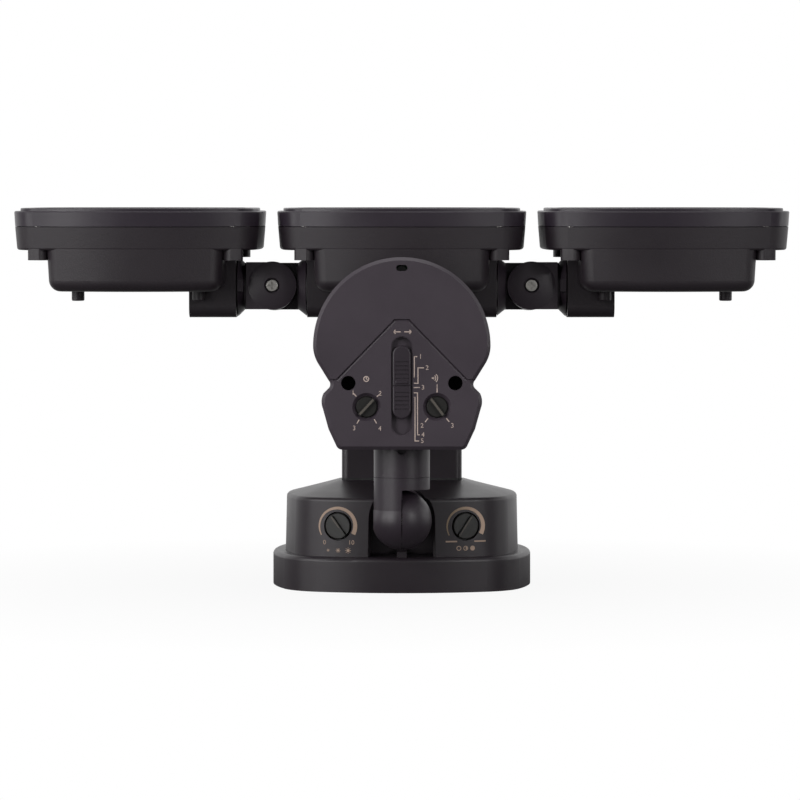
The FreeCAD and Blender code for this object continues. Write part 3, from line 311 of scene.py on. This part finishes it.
def fresnel_polyethylene(name, centre, radius):
    """Milky polyethylene sheet with rings pressed into its inner side, one set for each zone."""
    made, tree, where = new_material(name)
    parts = add(tree, "ShaderNodeSeparateXYZ", {0: where}).outputs
    height = add(tree, "ShaderNodeMath", {0: parts["Z"], 1: centre}, operation="SUBTRACT").outputs[0]
    angle = add(tree, "ShaderNodeMath", {0: height, 1: parts["X"]}, operation="ARCTAN2").outputs[0]
    around = add(tree, "ShaderNodeMath", {0: angle, 1: radius}, operation="MULTIPLY").outputs[0]
    flat = add(tree, "ShaderNodeCombineXYZ", {"X": around, "Y": parts["Y"], "Z": 0.0}).outputs[0]
    cell = add(tree, "ShaderNodeTexVoronoi", {"Vector": flat, "Scale": 1 / (9 * MM), "Randomness": 0.0},
               voronoi_dimensions="2D").outputs["Distance"]
    rings = add(tree, "ShaderNodeMath", {0: cell, 1: 58.0}, operation="MULTIPLY").outputs[0]
    wave = add(tree, "ShaderNodeMath", {0: rings}, operation="SINE").outputs[0]
    bump = add(tree, "ShaderNodeBump", {"Height": wave, "Strength": 0.4, "Distance": 0.03 * MM})
    shader = add(tree, "ShaderNodeBsdfPrincipled", {
        "Base Color": linear("#dedcd6"), "Roughness": 0.36, "IOR": 1.51, "Subsurface Weight": 0.35,
        "Subsurface Radius": (0.004, 0.004, 0.0035), "Subsurface Scale": 1.0,
        "Normal": bump.outputs[0]})
    close_material(tree, shader)
    return made


def solder_mask(name, code, track_code, pitch):
    """Fibreglass or aluminium circuit board under solder mask, with copper tracks just showing."""
    made, tree, where = new_material(name)
    tracks = add(tree, "ShaderNodeTexBrick", {
        "Vector": where, "Color1": (1, 1, 1, 1), "Color2": (1, 1, 1, 1), "Mortar": (0, 0, 0, 1),
        "Scale": 1.0, "Mortar Size": pitch * 0.09, "Brick Width": pitch * 2.3,
        "Row Height": pitch}).outputs["Fac"]
    bump = add(tree, "ShaderNodeBump", {"Height": tracks, "Strength": 0.6, "Distance": 0.05 * MM})
    shader = add(tree, "ShaderNodeBsdfPrincipled", {
        "Base Color": blend_colours(tree, tracks, linear(code), linear(track_code)),
        "Roughness": 0.33, "IOR": 1.5, "Normal": bump.outputs[0]})
    close_material(tree, shader)
    return made


def plain_gloss(name, colour, roughness):
    """Small glossy moulding or glass window, with the slight unevenness of a cast face."""
    made, tree, where = new_material(name)
    uneven = noise(tree, where, 4 * MM)
    shader = add(tree, "ShaderNodeBsdfPrincipled", {
        "Base Color": colour, "IOR": 1.5,
        "Roughness": spread(tree, uneven, roughness - 0.03, roughness + 0.05)})
    close_material(tree, shader)
    return made


def plain_backdrop(name, colour, clearing):
    """Matt paper floor: its shadow shows close to the object, and it fades to white further off."""
    made, tree, where = new_material(name)
    paper = add(tree, "ShaderNodeBsdfDiffuse", {"Color": colour})
    glow = add(tree, "ShaderNodeEmission", {"Color": (1, 1, 1, 1), "Strength": 1.0})
    rays = add(tree, "ShaderNodeLightPath").outputs
    # Shiny and clear parts find the white of the backdrop only in the floor behind them.
    depth = add(tree, "ShaderNodeSeparateXYZ", {0: where}).outputs["Y"]
    behind = spread(tree, depth, 0.0, 1.0, 0.1, 0.6)
    bent = add(tree, "ShaderNodeMath", {0: rays["Is Glossy Ray"], 1: rays["Is Transmission Ray"]},
               operation="MAXIMUM").outputs[0]
    bent = add(tree, "ShaderNodeMath", {0: bent, 1: behind}, operation="MULTIPLY").outputs[0]
    seen = add(tree, "ShaderNodeMath", {0: rays["Is Camera Ray"], 1: bent},
               operation="MAXIMUM").outputs[0]
    far = add(tree, "ShaderNodeVectorMath", {0: where}, operation="LENGTH").outputs["Value"]
    fade = spread(tree, far, 0.93, 1.0, clearing * 0.2, clearing)
    part = add(tree, "ShaderNodeMath", {0: seen, 1: fade}, operation="MULTIPLY").outputs[0]
    mix = add(tree, "ShaderNodeMixShader", {0: part, 1: paper.outputs[0], 2: glow.outputs[0]})
    close_material(tree, mix)
    return made


# ---- mesh helpers ----
def piece_from(bm, name, body, materials):
    """Turns a bmesh into a finished piece that rides on a body."""
    bmesh.ops.remove_doubles(bm, verts=bm.verts, dist=1e-7)
    bmesh.ops.recalc_face_normals(bm, faces=bm.faces)
    mesh = bpy.data.meshes.new(name)
    bm.to_mesh(mesh)
    bm.free()
    for material in materials:
        mesh.materials.append(material)
    made = bpy.data.objects.new(name, mesh)
    bpy.context.scene.collection.objects.link(made)
    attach(made, body)
    return made


def surface_of(node):
    """A search tree over a CAD node's surface."""
    mesh = frame["nodes"][node].data
    return BVHTree.FromPolygons([v.co for v in mesh.vertices], [p.vertices for p in mesh.polygons])


def print_on(bm, node, film):
    """Lays flat artwork, drawn in X and Z, on the side of a node that faces -Y, with ink thickness."""
    tree = surface_of(node)
    for vert in bm.verts:
        hit = tree.ray_cast(Vector((vert.co.x, -0.2, vert.co.z)), Vector((0, 1, 0)))[0]
        if hit is None:
            raise RuntimeError("a printed mark misses %s at x %.4f, z %.4f" % (node, vert.co.x, vert.co.z))
        vert.co.y = hit.y
    sheet = list(bm.faces)
    grown = bmesh.ops.extrude_face_region(bm, geom=sheet)["geom"]
    bmesh.ops.translate(bm, verts=[g for g in grown if isinstance(g, bmesh.types.BMVert)],
                        vec=(0, -film, 0))
    for vert in bm.verts:
        vert.co.y += film * 0.1


def stroke(bm, start, end, width, pieces=1):
    """Straight printed line in X and Z."""
    start, end = Vector(start), Vector(end)
    along = end - start
    place = (Matrix.Translation(Vector(((start.x + end.x) / 2, 0, (start.y + end.y) / 2)))
             @ Matrix.Rotation(-math.atan2(along.y, along.x), 4, "Y")
             @ Matrix.Diagonal((along.length, 1, width, 1)) @ Matrix.Rotation(math.pi / 2, 4, "X"))
    bmesh.ops.create_grid(bm, x_segments=pieces, y_segments=1, size=0.5, matrix=place)


def arc(bm, centre, radius, width_from, width_to, angle_from, angle_to, steps):
    """Printed arc, bent from a strip: its outer edge has the radius, and its width changes along it."""
    strip = bmesh.ops.create_grid(bm, x_segments=steps, y_segments=1, size=0.5)
    for vert in strip["verts"]:
        share = vert.co.x + 0.5
        angle = angle_from + (angle_to - angle_from) * share
        reach = radius - (0.5 - vert.co.y) * (width_from + (width_to - width_from) * share)
        vert.co = (centre[0] + reach * math.cos(angle), 0, centre[1] + reach * math.sin(angle))


def disc(bm, centre, radius, steps=20):
    place = Matrix.Translation((centre[0], 0, centre[1])) @ Matrix.Rotation(math.pi / 2, 4, "X")
    bmesh.ops.create_circle(bm, cap_ends=True, radius=radius, segments=steps, matrix=place)


def digits(bm, text, centre, height):
    """Plain digits, centred on a point in X and Z."""
    curve = bpy.data.curves.new("digits", "FONT")
    curve.body = text
    curve.align_x = "CENTER"
    curve.align_y = "CENTER"
    curve.size = height / 0.7
    curve.resolution_u = 3
    carrier = bpy.data.objects.new("digits", curve)
    bpy.context.scene.collection.objects.link(carrier)
    mesh = bpy.data.meshes.new_from_object(carrier)
    mesh.transform(Matrix.Translation((centre[0], 0, centre[1])) @ Matrix.Rotation(math.pi / 2, 4, "X"))
    bm.from_mesh(mesh)
    bpy.data.objects.remove(carrier)
    bpy.data.curves.remove(curve)
    bpy.data.meshes.remove(mesh)


def polar(centre, radius, degrees):
    return (centre[0] + radius * math.cos(math.radians(degrees)),
            centre[1] + radius * math.sin(math.radians(degrees)))


def joint_point(name):
    """A joint's place in X and Z."""
    place = JOINTS[name]["pos_m"]
    return (place[0], place[2])


# ---- operators ----
def node_finishes(finish):
    """One material for each kind of CAD node, and the endings of the names it goes to."""
    lens_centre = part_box("pir_lens")[1].z - LENS_RADIUS
    grain, relief = finish.grain, finish.relief
    fine_grain, fine_relief = grain * 0.7, relief * 0.35
    housing = eroded_abs("ABS, eroded dark bronze", finish.housing, 0.48, grain, relief)
    satin = eroded_abs("ABS, satin dark bronze", finish.satin, 0.42, fine_grain, fine_relief)
    base = eroded_abs("ABS, satin bronze of the base", finish.base, 0.40, fine_grain, fine_relief)
    # Lighter copy of the canopy's plastic: painted light on the sensor's cover.
    cover = eroded_abs("ABS, satin bronze of the cover", finish.cover, 0.44, fine_grain, fine_relief)
    bezel = eroded_abs("ABS, semi-gloss dark bronze", finish.bezel, 0.34, grain * 0.8, relief * 0.2)
    knob = eroded_abs("Acetal, black-brown", finish.knob, 0.40, grain * 0.6, relief * 0.3)
    white = eroded_abs("Polycarbonate, white", linear("#dcdad3"), 0.42, grain, relief * 0.5)
    rubber = moulded_rubber("EPDM rubber, black")
    steel = zinc_steel("Steel, zinc plated", finish.steel, 0.26)
    dull = zinc_steel("Steel, dull zinc", finish.dull_steel, 0.38)
    # Black stands in for the shade deep in the holes where the sensor's screws sit: painted shade.
    black = zinc_steel("Steel, black oxide", linear("#191819"), 0.42)
    green = solder_mask("Circuit board, green mask", "#1f5a35", "#2c7446", 3 * MM)
    pale = solder_mask("Circuit board, white mask", "#e6e6e2", "#d2d3d0", 7 * MM)
    return {
        "housing": housing, "bezel": bezel, "lens_gasket": rubber, "led_board": pale,
        "bezel_screws": steel, "lens": prismatic_polycarbonate("Polycarbonate, clear ripple"),
        "outer_knuckle": satin, "inner_knuckle": satin, "roll_nut": steel, "roll_seal": rubber,
        "knuckle_screws": dull, "knuckle_nuts": steel, "canopy_shell": base, "wall_gasket": rubber,
        "mounting_plate": steel, "canopy_screws": steel, "driver_case": white, "driver_board": green,
        "dial_pots": knob, "riser_column": base, "riser_gasket": rubber, "riser_screws": steel,
        "cross_tube": drawn_aluminium("Aluminium, drawn"), "tube_screw": steel, "sensor_ball": satin,
        "ball_nut": steel, "pivot_screw": steel, "sensor_arm": satin, "stem_nut": steel,
        "sensor_shell": satin, "sensor_cover": cover, "sensor_board": green, "sensor_screws": black,
        "pir_lens": fresnel_polyethylene("Polyethylene, milky", lens_centre, LENS_RADIUS),
        "pir_element": plain_gloss("Nickel can", linear("#b9b7b1"), 0.25),
        "photocell": plain_gloss("Epoxy, dark clear", linear("#171318"), 0.12),
        "mode_slider": satin, "light_level_dial": knob, "colour_temperature_dial": knob,
        "time_dial": knob, "sensitivity_dial": knob, "leds": pad_ink("Phosphor, plain", linear("#dfb03c")),
    }


class SECLIGHT_OT_finish_nodes(bpy.types.Operator):
    """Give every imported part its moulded, plated or rubber finish"""
    bl_idname = "seclight.finish_nodes"
    bl_label = "Finish Parts"

    def execute(self, context):
        finishes = node_finishes(context.scene.light_finish)
        for name, item in frame["nodes"].items():
            side, _, rest = name.partition("_")
            plain = rest if side in HEADS and name not in finishes else name
            item.data.materials.clear()
            item.data.materials.append(finishes[plain])
        return {"FINISHED"}


class SECLIGHT_OT_light_chips(bpy.types.Operator):
    """Build the light chips of the three heads, with frame, phosphor window and solder"""
    bl_idname = "seclight.light_chips"
    bl_label = "Light Chips"

    def execute(self, context):
        chips = context.scene.light_chips
        moulding = plain_gloss("Chip frame, white", chips.frame, 0.35)
        phosphor = pad_ink("Phosphor, yellow", chips.phosphor)
        solder = zinc_steel("Solder, tin", linear("#c9cbce"), 0.3)
        for side in HEADS:
            low, high = self.level_box(side + "_leds", chips.lean)
            thick = high.z - low.z
            size = CHIP_SIZE
            bm = bmesh.new()
            for i in range(CHIP_COLUMNS):
                for j in range(CHIP_ROWS):
                    x = low.x + size / 2 + (high.x - low.x - size) * i / (CHIP_COLUMNS - 1)
                    y = low.y + size / 2 + (high.y - low.y - size) * j / (CHIP_ROWS - 1)
                    self.chip(bm, Vector((x, y, low.z)), size, thick, chips.window)
            bmesh.ops.rotate(bm, verts=bm.verts, cent=self.arm_axis(),
                             matrix=Matrix.Rotation(chips.lean, 3, "X"))
            made = piece_from(bm, side + "_light_chips", body_of(frame["nodes"][side + "_leds"])[0],
                              (moulding, phosphor, solder))
            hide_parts(side + "_leds")
        return {"FINISHED"}

    def arm_axis(self):
        return Vector(JOINTS["centre_tilt"]["pos_m"])

    def level_box(self, node, lean):
        """Corners of a node's box, measured with the head's lean taken out."""
        back = Matrix.Rotation(-lean, 3, "X")
        centre = self.arm_axis()
        points = [centre + back @ (v.co - centre) for v in frame["nodes"][node].data.vertices]
        return (Vector([min(p[i] for p in points) for i in range(3)]),
                Vector([max(p[i] for p in points) for i in range(3)]))

    def chip(self, bm, foot, size, thick, window):
        """Square frame with a bevelled rim, a round window laid just over its top and a solder foot at each
        end.
        """
        place = Matrix.Translation(foot + Vector((0, 0, thick / 2)))
        box = bmesh.ops.create_cube(
            bm, size=1, matrix=place @ Matrix.Diagonal((size * 0.9, size, thick, 1)))
        upright = [e for v in box["verts"] for e in v.link_edges
                   if abs(e.verts[0].co.z - e.verts[1].co.z) > thick / 2]
        bmesh.ops.bevel(bm, geom=list(set(upright)), offset=size * 0.08, affect="EDGES", segments=1,
                        profile=0.5, material=-1)
        well = bmesh.ops.create_circle(bm, cap_ends=True, radius=window / 2, segments=16,
                                       matrix=Matrix.Translation(foot + Vector((0, 0, thick + 0.02 * MM))))
        for face in {f for v in well["verts"] for f in v.link_faces}:
            face.material_index = 1
        solder_height = 0.36 * MM
        for side in (-1, 1):
            foot_place = Matrix.Translation(foot + Vector((0, side * size * 0.5, solder_height / 2)))
            pad = bmesh.ops.create_cube(
                bm, size=1,
                matrix=foot_place @ Matrix.Diagonal((size * 0.5, size * 0.12, solder_height, 1)))
            for face in {f for v in pad["verts"] for f in v.link_faces}:
                face.material_index = 2


# Leader lines of the slider, in millimetres: height of the stop, x of the elbow, height of the
# digit, and x where the line ends before it.
LEADER_START = 5.3
LEADERS = ((97.57, 5.5, 106.8, 6.8), (95.1, 7.1, 101.9, 9.7), (93.26, 7.1, 93.26, 7.9),
           (90.93, 6.9, 72.5, 7.9), (88.96, 5.8, 69.8, 7.6))

# Digits round the sensor's two dials, x and z in millimetres.
TIME_DIGITS = ((-21.4, 90.9), (-9.5, 90.6), (-20.9, 75.4), (-9.6, 75.2))
SENSE_DIGITS = ((15.5, 93.6), (8.9, 76.5), (22.2, 76.5))


class SECLIGHT_OT_sensor_marks(bpy.types.Operator):
    """Print the ticks, digits, leader lines and signs on the sensor's cover"""
    bl_idname = "seclight.sensor_marks"
    bl_label = "Sensor Marks"

    def execute(self, context):
        marks = context.scene.light_marks
        ink = pad_ink("Ink, champagne", context.scene.light_finish.ink)
        bm = bmesh.new()
        time, sense = joint_point("time_turn"), joint_point("sensitivity_turn")
        tick_start = 6.4 * MM
        self.dial_scale(bm, marks, time, tick_start, TIME_DIGITS)
        self.dial_scale(bm, marks, sense, tick_start, SENSE_DIGITS)
        self.mode_scale(bm, marks)
        self.clock_sign(bm, marks, (-15.6 * MM, 97.0 * MM))
        self.waves_sign(bm, marks, (15.0 * MM, 97.4 * MM))
        self.arrows_sign(bm, marks, (0.3 * MM, 117.7 * MM))
        print_on(bm, "sensor_cover", marks.film)
        piece_from(bm, "sensor_marks", "sensor", (ink,))
        return {"FINISHED"}

    def dial_scale(self, bm, marks, centre, inner, places):
        """A digit at each place, and a tick that points to it from the dial."""
        for number, (x, z) in enumerate(places, start=1):
            angle = math.degrees(math.atan2(z * MM - centre[1], x * MM - centre[0]))
            stroke(bm, polar(centre, inner, angle), polar(centre, inner + marks.tick, angle), marks.line)
            digits(bm, str(number), (x * MM, z * MM), marks.digit)

    def mode_scale(self, bm, marks):
        """Leader lines from the five slider stops to their digits."""
        corner = marks.line / 2
        for number, leader in enumerate(LEADERS, start=1):
            stop, elbow, end, out = (length * MM for length in leader)
            stroke(bm, (LEADER_START * MM, stop), (elbow + corner, stop), marks.line)
            if abs(end - stop) > MM:
                stroke(bm, (elbow, min(stop, end) - corner), (elbow, max(stop, end) + corner), marks.line)
                stroke(bm, (elbow - corner, end), (out, end), marks.line)
            else:
                stroke(bm, (elbow, stop), (out, stop), marks.line)
            digits(bm, str(number), (out + 1.4 * MM, end), marks.digit)

    def clock_sign(self, bm, marks, centre):
        ring = marks.sign / 2
        arc(bm, centre, ring, marks.line, marks.line, math.pi, -math.pi * 0.999, 28)
        stroke(bm, centre, polar(centre, ring * 0.62, 90), marks.line * 0.8)
        stroke(bm, centre, polar(centre, ring * 0.5, -20), marks.line * 0.8)

    def waves_sign(self, bm, marks, centre):
        disc(bm, (centre[0] - marks.sign * 0.6, centre[1]), marks.line * 0.8)
        for i in range(1, 4):
            arc(bm, (centre[0] - marks.sign * 0.6, centre[1]), i * marks.sign * 0.32, marks.line * 0.8,
                marks.line * 0.8, math.radians(48), math.radians(-48), 10)

    def arrows_sign(self, bm, marks, centre):
        """Two arrows that point away from each other."""
        reach, head = marks.sign * 1.5, marks.sign * 0.32
        for side in (-1, 1):
            tip = (centre[0] + side * reach, centre[1])
            stroke(bm, (centre[0] + side * head, centre[1]), tip, marks.line)
            for lean in (-1, 1):
                stroke(bm, tip, (tip[0] - side * head, tip[1] + lean * head), marks.line)


class SECLIGHT_OT_canopy_marks(bpy.types.Operator):
    """Print the swelling arcs, digits and signs round the two canopy dials"""
    bl_idname = "seclight.canopy_marks"
    bl_label = "Canopy Marks"

    def execute(self, context):
        marks = context.scene.light_marks
        finish = context.scene.light_finish
        ink = pad_ink("Ink, canopy", finish.level_ink)
        level, tone = joint_point("light_level_turn"), joint_point("colour_temperature_turn")
        bm = bmesh.new()
        self.swelling_arc(bm, level)
        digits(bm, "0", (level[0] - 6.1 * MM, level[1] - 7.5 * MM), marks.digit)
        digits(bm, "10", (level[0] + 6.1 * MM, level[1] - 7.4 * MM), marks.digit)
        self.sun_sign(bm, marks, (level[0] + 0.1 * MM, level[1] - 11.0 * MM))
        reach, drop = 2.6 * MM, 6.9 * MM
        for x in (tone[0] - 6.5 * MM, tone[0] + 6.5 * MM):
            stroke(bm, (x - reach, tone[1] - drop), (x + reach, tone[1] - drop), marks.line * 1.6, 6)
        self.tone_sign(bm, marks, (tone[0], tone[1] - 10.0 * MM))
        print_on(bm, "canopy_shell", marks.film)
        piece_from(bm, "canopy_marks", "base", (ink,))
        bm = bmesh.new()
        self.swelling_arc(bm, tone)
        print_on(bm, "canopy_shell", marks.film)
        shaded = graded_ink("Ink, warm to pale", finish.warm_ink, shade(finish.level_ink, 1.15),
                            tone[0], 8.6 * MM)
        piece_from(bm, "colour_temperature_arc", "base", (shaded,))
        return {"FINISHED"}

    def swelling_arc(self, bm, centre):
        """Arc over a dial that grows wider clockwise."""
        arc(bm, centre, 8.8 * MM, 0.5 * MM, 2.0 * MM, math.radians(209), math.radians(-27), 64)

    def sun_sign(self, bm, marks, centre):
        """Three suns that grow, for more light."""
        for i, size in enumerate((0.22, 0.34, 0.46)):
            x = centre[0] + (i - 1) * marks.sign * 1.75
            disc(bm, (x, centre[1]), marks.sign * size * 0.6)
            for k in range(8):
                angle = k * 45
                stroke(bm, polar((x, centre[1]), marks.sign * size * 0.8, angle),
                       polar((x, centre[1]), marks.sign * size * 1.15, angle), marks.line * 0.6)

    def tone_sign(self, bm, marks, centre):
        """Ring, half-filled ring and full disc, for the tone of the light."""
        radius = marks.sign * 0.42
        for i in range(3):
            place = (centre[0] + (i - 1) * marks.sign * 1.2, centre[1])
            if i == 2:
                disc(bm, place, radius)
                continue
            arc(bm, place, radius, marks.line * 0.8, marks.line * 0.8, math.pi, -math.pi * 0.999, 24)
            if i == 1:
                arc(bm, place, radius - marks.line, radius * 0.9 - marks.line, radius * 0.9 - marks.line,
                    math.radians(90), math.radians(-90), 12)


# Dials: node, joint, body, degrees of the blade about +Y, half length and width of its strip in mm. Each
# strip is painted highlight along the lit top of the blade.
BLADE_HIGHLIGHTS = (("light_level_dial", "light_level_turn", "light_level", 54, 5.1, 0.6),
            ("colour_temperature_dial", "colour_temperature_turn", "colour_temperature", 124, 5.1, 0.6),
            ("time_dial", "time_turn", "time", 133, 4.4, 1.0),
            ("sensitivity_dial", "sensitivity_turn", "sensitivity", 53, 4.4, 1.0))


class SECLIGHT_OT_pointers(bpy.types.Operator):
    """Lay a pale strip along the blade of each dial, a painted highlight of the blade's lit top"""
    bl_idname = "seclight.pointers"
    bl_label = "Dial Pointers"

    def execute(self, context):
        # A matt ink film laid along each blade as painted highlight.
        ink = pad_ink("Ink, dial pointers", context.scene.light_finish.pointer)
        for node, joint, body, turn, reach, width in BLADE_HIGHLIGHTS:
            centre = joint_point(joint)
            bm = bmesh.new()
            stroke(bm, polar(centre, -reach * MM, -turn), polar(centre, reach * MM, -turn), width * MM, 2)
            print_on(bm, node, context.scene.light_marks.film)
            piece_from(bm, node + "_pointer", body, (ink,))
        return {"FINISHED"}


class SECLIGHT_OT_lens_seams(bpy.types.Operator):
    """Build the raised seams between the zones of the motion lens"""
    bl_idname = "seclight.lens_seams"
    bl_label = "Lens Seams"

    def execute(self, context):
        low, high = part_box("pir_lens")
        radius = (high.x - low.x) / 2
        centre = Vector(((high.x + low.x) / 2, 0, high.z - radius))
        start = math.asin((low.z - centre.z) / radius)
        bm = bmesh.new()
        zones = 11
        seam, rise = 0.35 * MM, 0.12 * MM
        for i in range(1, zones):
            angle = start + (math.pi - 2 * start) * i / zones
            place = (Matrix.Translation(centre) @ Matrix.Rotation(-angle, 4, "Y")
                     @ Matrix.Translation((radius, (low.y + high.y) / 2, 0))
                     @ Matrix.Diagonal((2 * rise, high.y - low.y - 1.2 * MM, seam, 1)))
            bmesh.ops.create_cube(bm, size=1, matrix=place)
        for share in (0.36, 0.7):
            y = low.y + (high.y - low.y) * share
            self.hoop(bm, centre, radius + rise, y, seam, start + 0.04)
        piece_from(bm, "pir_lens_seams", "sensor",
                   (frame["nodes"]["pir_lens"].data.materials[0],))
        return {"FINISHED"}

    def hoop(self, bm, centre, radius, y, width, start):
        depth = 0.3 * MM
        corners = [bm.verts.new((centre.x + radius - dx, y + dy, centre.z))
                   for dx, dy in ((0, -width / 2), (0, width / 2), (depth, width / 2), (depth, -width / 2))]
        face = bm.faces.new(corners)
        turn = Matrix.Rotation(-start, 3, "Y")
        bmesh.ops.rotate(bm, verts=corners, cent=centre, matrix=turn)
        bmesh.ops.spin(bm, geom=[face] + list(face.edges) + corners, cent=centre, axis=(0, 1, 0),
                       dvec=(0, 0, 0), angle=-(math.pi - 2 * start), steps=60)


class SECLIGHT_OT_studio(bpy.types.Operator):
    """Set up the paper floor, the soft lamps and the camera"""
    bl_idname = "seclight.studio"
    bl_label = "Studio"

    def execute(self, context):
        stage = context.scene.light_stage
        self.floor(stage)
        self.surroundings(context, stage)
        self.lamp("lamp_key", -40, 1.3, 0.35, (0.38, 1.2), stage.key)
        self.lamp("lamp_fill", 40, 1.3, 0.35, (0.34, 1.1), stage.fill)
        self.lamp("lamp_edge", -68, 1.3, 0.30, (0.40, 1.2), stage.edge)
        self.lamp("lamp_rim", 95, 1.3, 0.30, (0.30, 1.0), stage.rim)
        self.lamp("lamp_spot", 34, 1.3, 0.45, (0.10, 0.10), stage.spot)
        self.lamp("lamp_top", 180, 0.3, 1.50, (1.2, 0.9), stage.top)
        self.camera(context)
        return {"FINISHED"}

    def floor(self, stage):
        bm = bmesh.new()
        bmesh.ops.create_grid(bm, x_segments=1, y_segments=1, size=30,
                              matrix=Matrix.Translation((0, 0, -0.2 * MM)))
        mesh = bpy.data.meshes.new("floor")
        bm.to_mesh(mesh)
        bm.free()
        mesh.materials.append(plain_backdrop("Paper floor", stage.floor, stage.clearing))
        made = bpy.data.objects.new("floor", mesh)
        bpy.context.scene.collection.objects.link(made)

    def surroundings(self, context, stage):
        world = bpy.data.worlds.new("studio")
        world.use_nodes = True
        tree = world.node_tree
        tree.nodes.clear()
        rays = add(tree, "ShaderNodeLightPath").outputs
        # Glossy and see-through rays find the white backdrop behind the object, not the room in front.
        where = add(tree, "ShaderNodeTexCoord").outputs["Object"]
        depth = add(tree, "ShaderNodeSeparateXYZ", {0: where}).outputs["Y"]
        behind = spread(tree, depth, 0.0, 1.0, 0.0, 0.35)
        bent = add(tree, "ShaderNodeMath", {0: rays["Is Glossy Ray"], 1: rays["Is Transmission Ray"]},
                   operation="MAXIMUM").outputs[0]
        bent = add(tree, "ShaderNodeMath", {0: bent, 1: behind}, operation="MULTIPLY").outputs[0]
        clear = add(tree, "ShaderNodeMath", {0: rays["Is Camera Ray"], 1: bent},
                    operation="MAXIMUM").outputs[0]
        strength = spread(tree, clear, stage.sky, 1.0, 0.0, 1.0)
        sky = add(tree, "ShaderNodeBackground", {"Color": (1, 1, 1, 1), "Strength": strength})
        add(tree, "ShaderNodeOutputWorld", {"Surface": sky.outputs[0]})
        context.scene.world = world
        context.scene.view_settings.view_transform = "Standard"

    def lamp(self, name, round_from_front, reach, height, size, power):
        """Soft lamp in metres, at an angle round from the front, right positive, facing the middle."""
        turn = math.radians(round_from_front)
        place = (reach * math.sin(turn), -reach * math.cos(turn), height)
        data = bpy.data.lights.new(name, "AREA")
        data.shape = "RECTANGLE"
        data.size, data.size_y = size
        data.energy = power
        made = bpy.data.objects.new(name, data)
        made.location = place
        made.rotation_euler = (Vector((0, 0, 0.1)) - Vector(place)).to_track_quat("-Z", "Y").to_euler()
        bpy.context.scene.collection.objects.link(made)

    def camera(self, context):
        """Level camera at the height of the photograph's horizon, 1.3 m from the arm axis."""
        frame_px = 800
        focal_px, horizon_px, middle_px = 2754, 335, 401.8
        data = bpy.data.cameras.new("camera")
        data.sensor_width = 36.0
        data.lens = focal_px / frame_px * data.sensor_width
        data.shift_x = (frame_px / 2 - middle_px) / frame_px
        data.shift_y = (horizon_px - frame_px / 2) / frame_px
        made = bpy.data.objects.new("camera", data)
        made.location = (0.0, -1.3, 0.1163)
        made.rotation_euler = (math.pi / 2, 0, 0)
        context.scene.collection.objects.link(made)
        context.scene.camera = made


class SECLIGHT_PT_panel(bpy.types.Panel):
    """Sizes, colours and steps of the security light"""
    bl_idname = "SECLIGHT_PT_panel"
    bl_label = "Security Light"
    bl_space_type = "VIEW_3D"
    bl_region_type = "UI"
    bl_category = "Security Light"

    def draw(self, context):
        for name, group in SETTINGS:
            values = getattr(context.scene, name)
            column = self.layout.column()
            for prop in group.__annotations__:
                column.prop(values, prop)
        for step in STEPS:
            self.layout.operator(step.bl_idname)


STEPS = (SECLIGHT_OT_studio, SECLIGHT_OT_finish_nodes, SECLIGHT_OT_light_chips,
         SECLIGHT_OT_lens_seams, SECLIGHT_OT_pointers, SECLIGHT_OT_sensor_marks,
         SECLIGHT_OT_canopy_marks)


def register():
    for name, group in SETTINGS:
        bpy.utils.register_class(group)
        setattr(bpy.types.Scene, name, bpy.props.PointerProperty(type=group))
    for step in STEPS:
        bpy.utils.register_class(step)
    bpy.utils.register_class(SECLIGHT_PT_panel)


def unregister():
    bpy.utils.unregister_class(SECLIGHT_PT_panel)
    for step in reversed(STEPS):
        bpy.utils.unregister_class(step)
    for name, group in reversed(SETTINGS):
        delattr(bpy.types.Scene, name)
        bpy.utils.unregister_class(group)


def main():
    register()
    for step in STEPS:
        group, name = step.bl_idname.split(".")
        getattr(getattr(bpy.ops, group), name)()


if __name__ == "__main__":
    main()
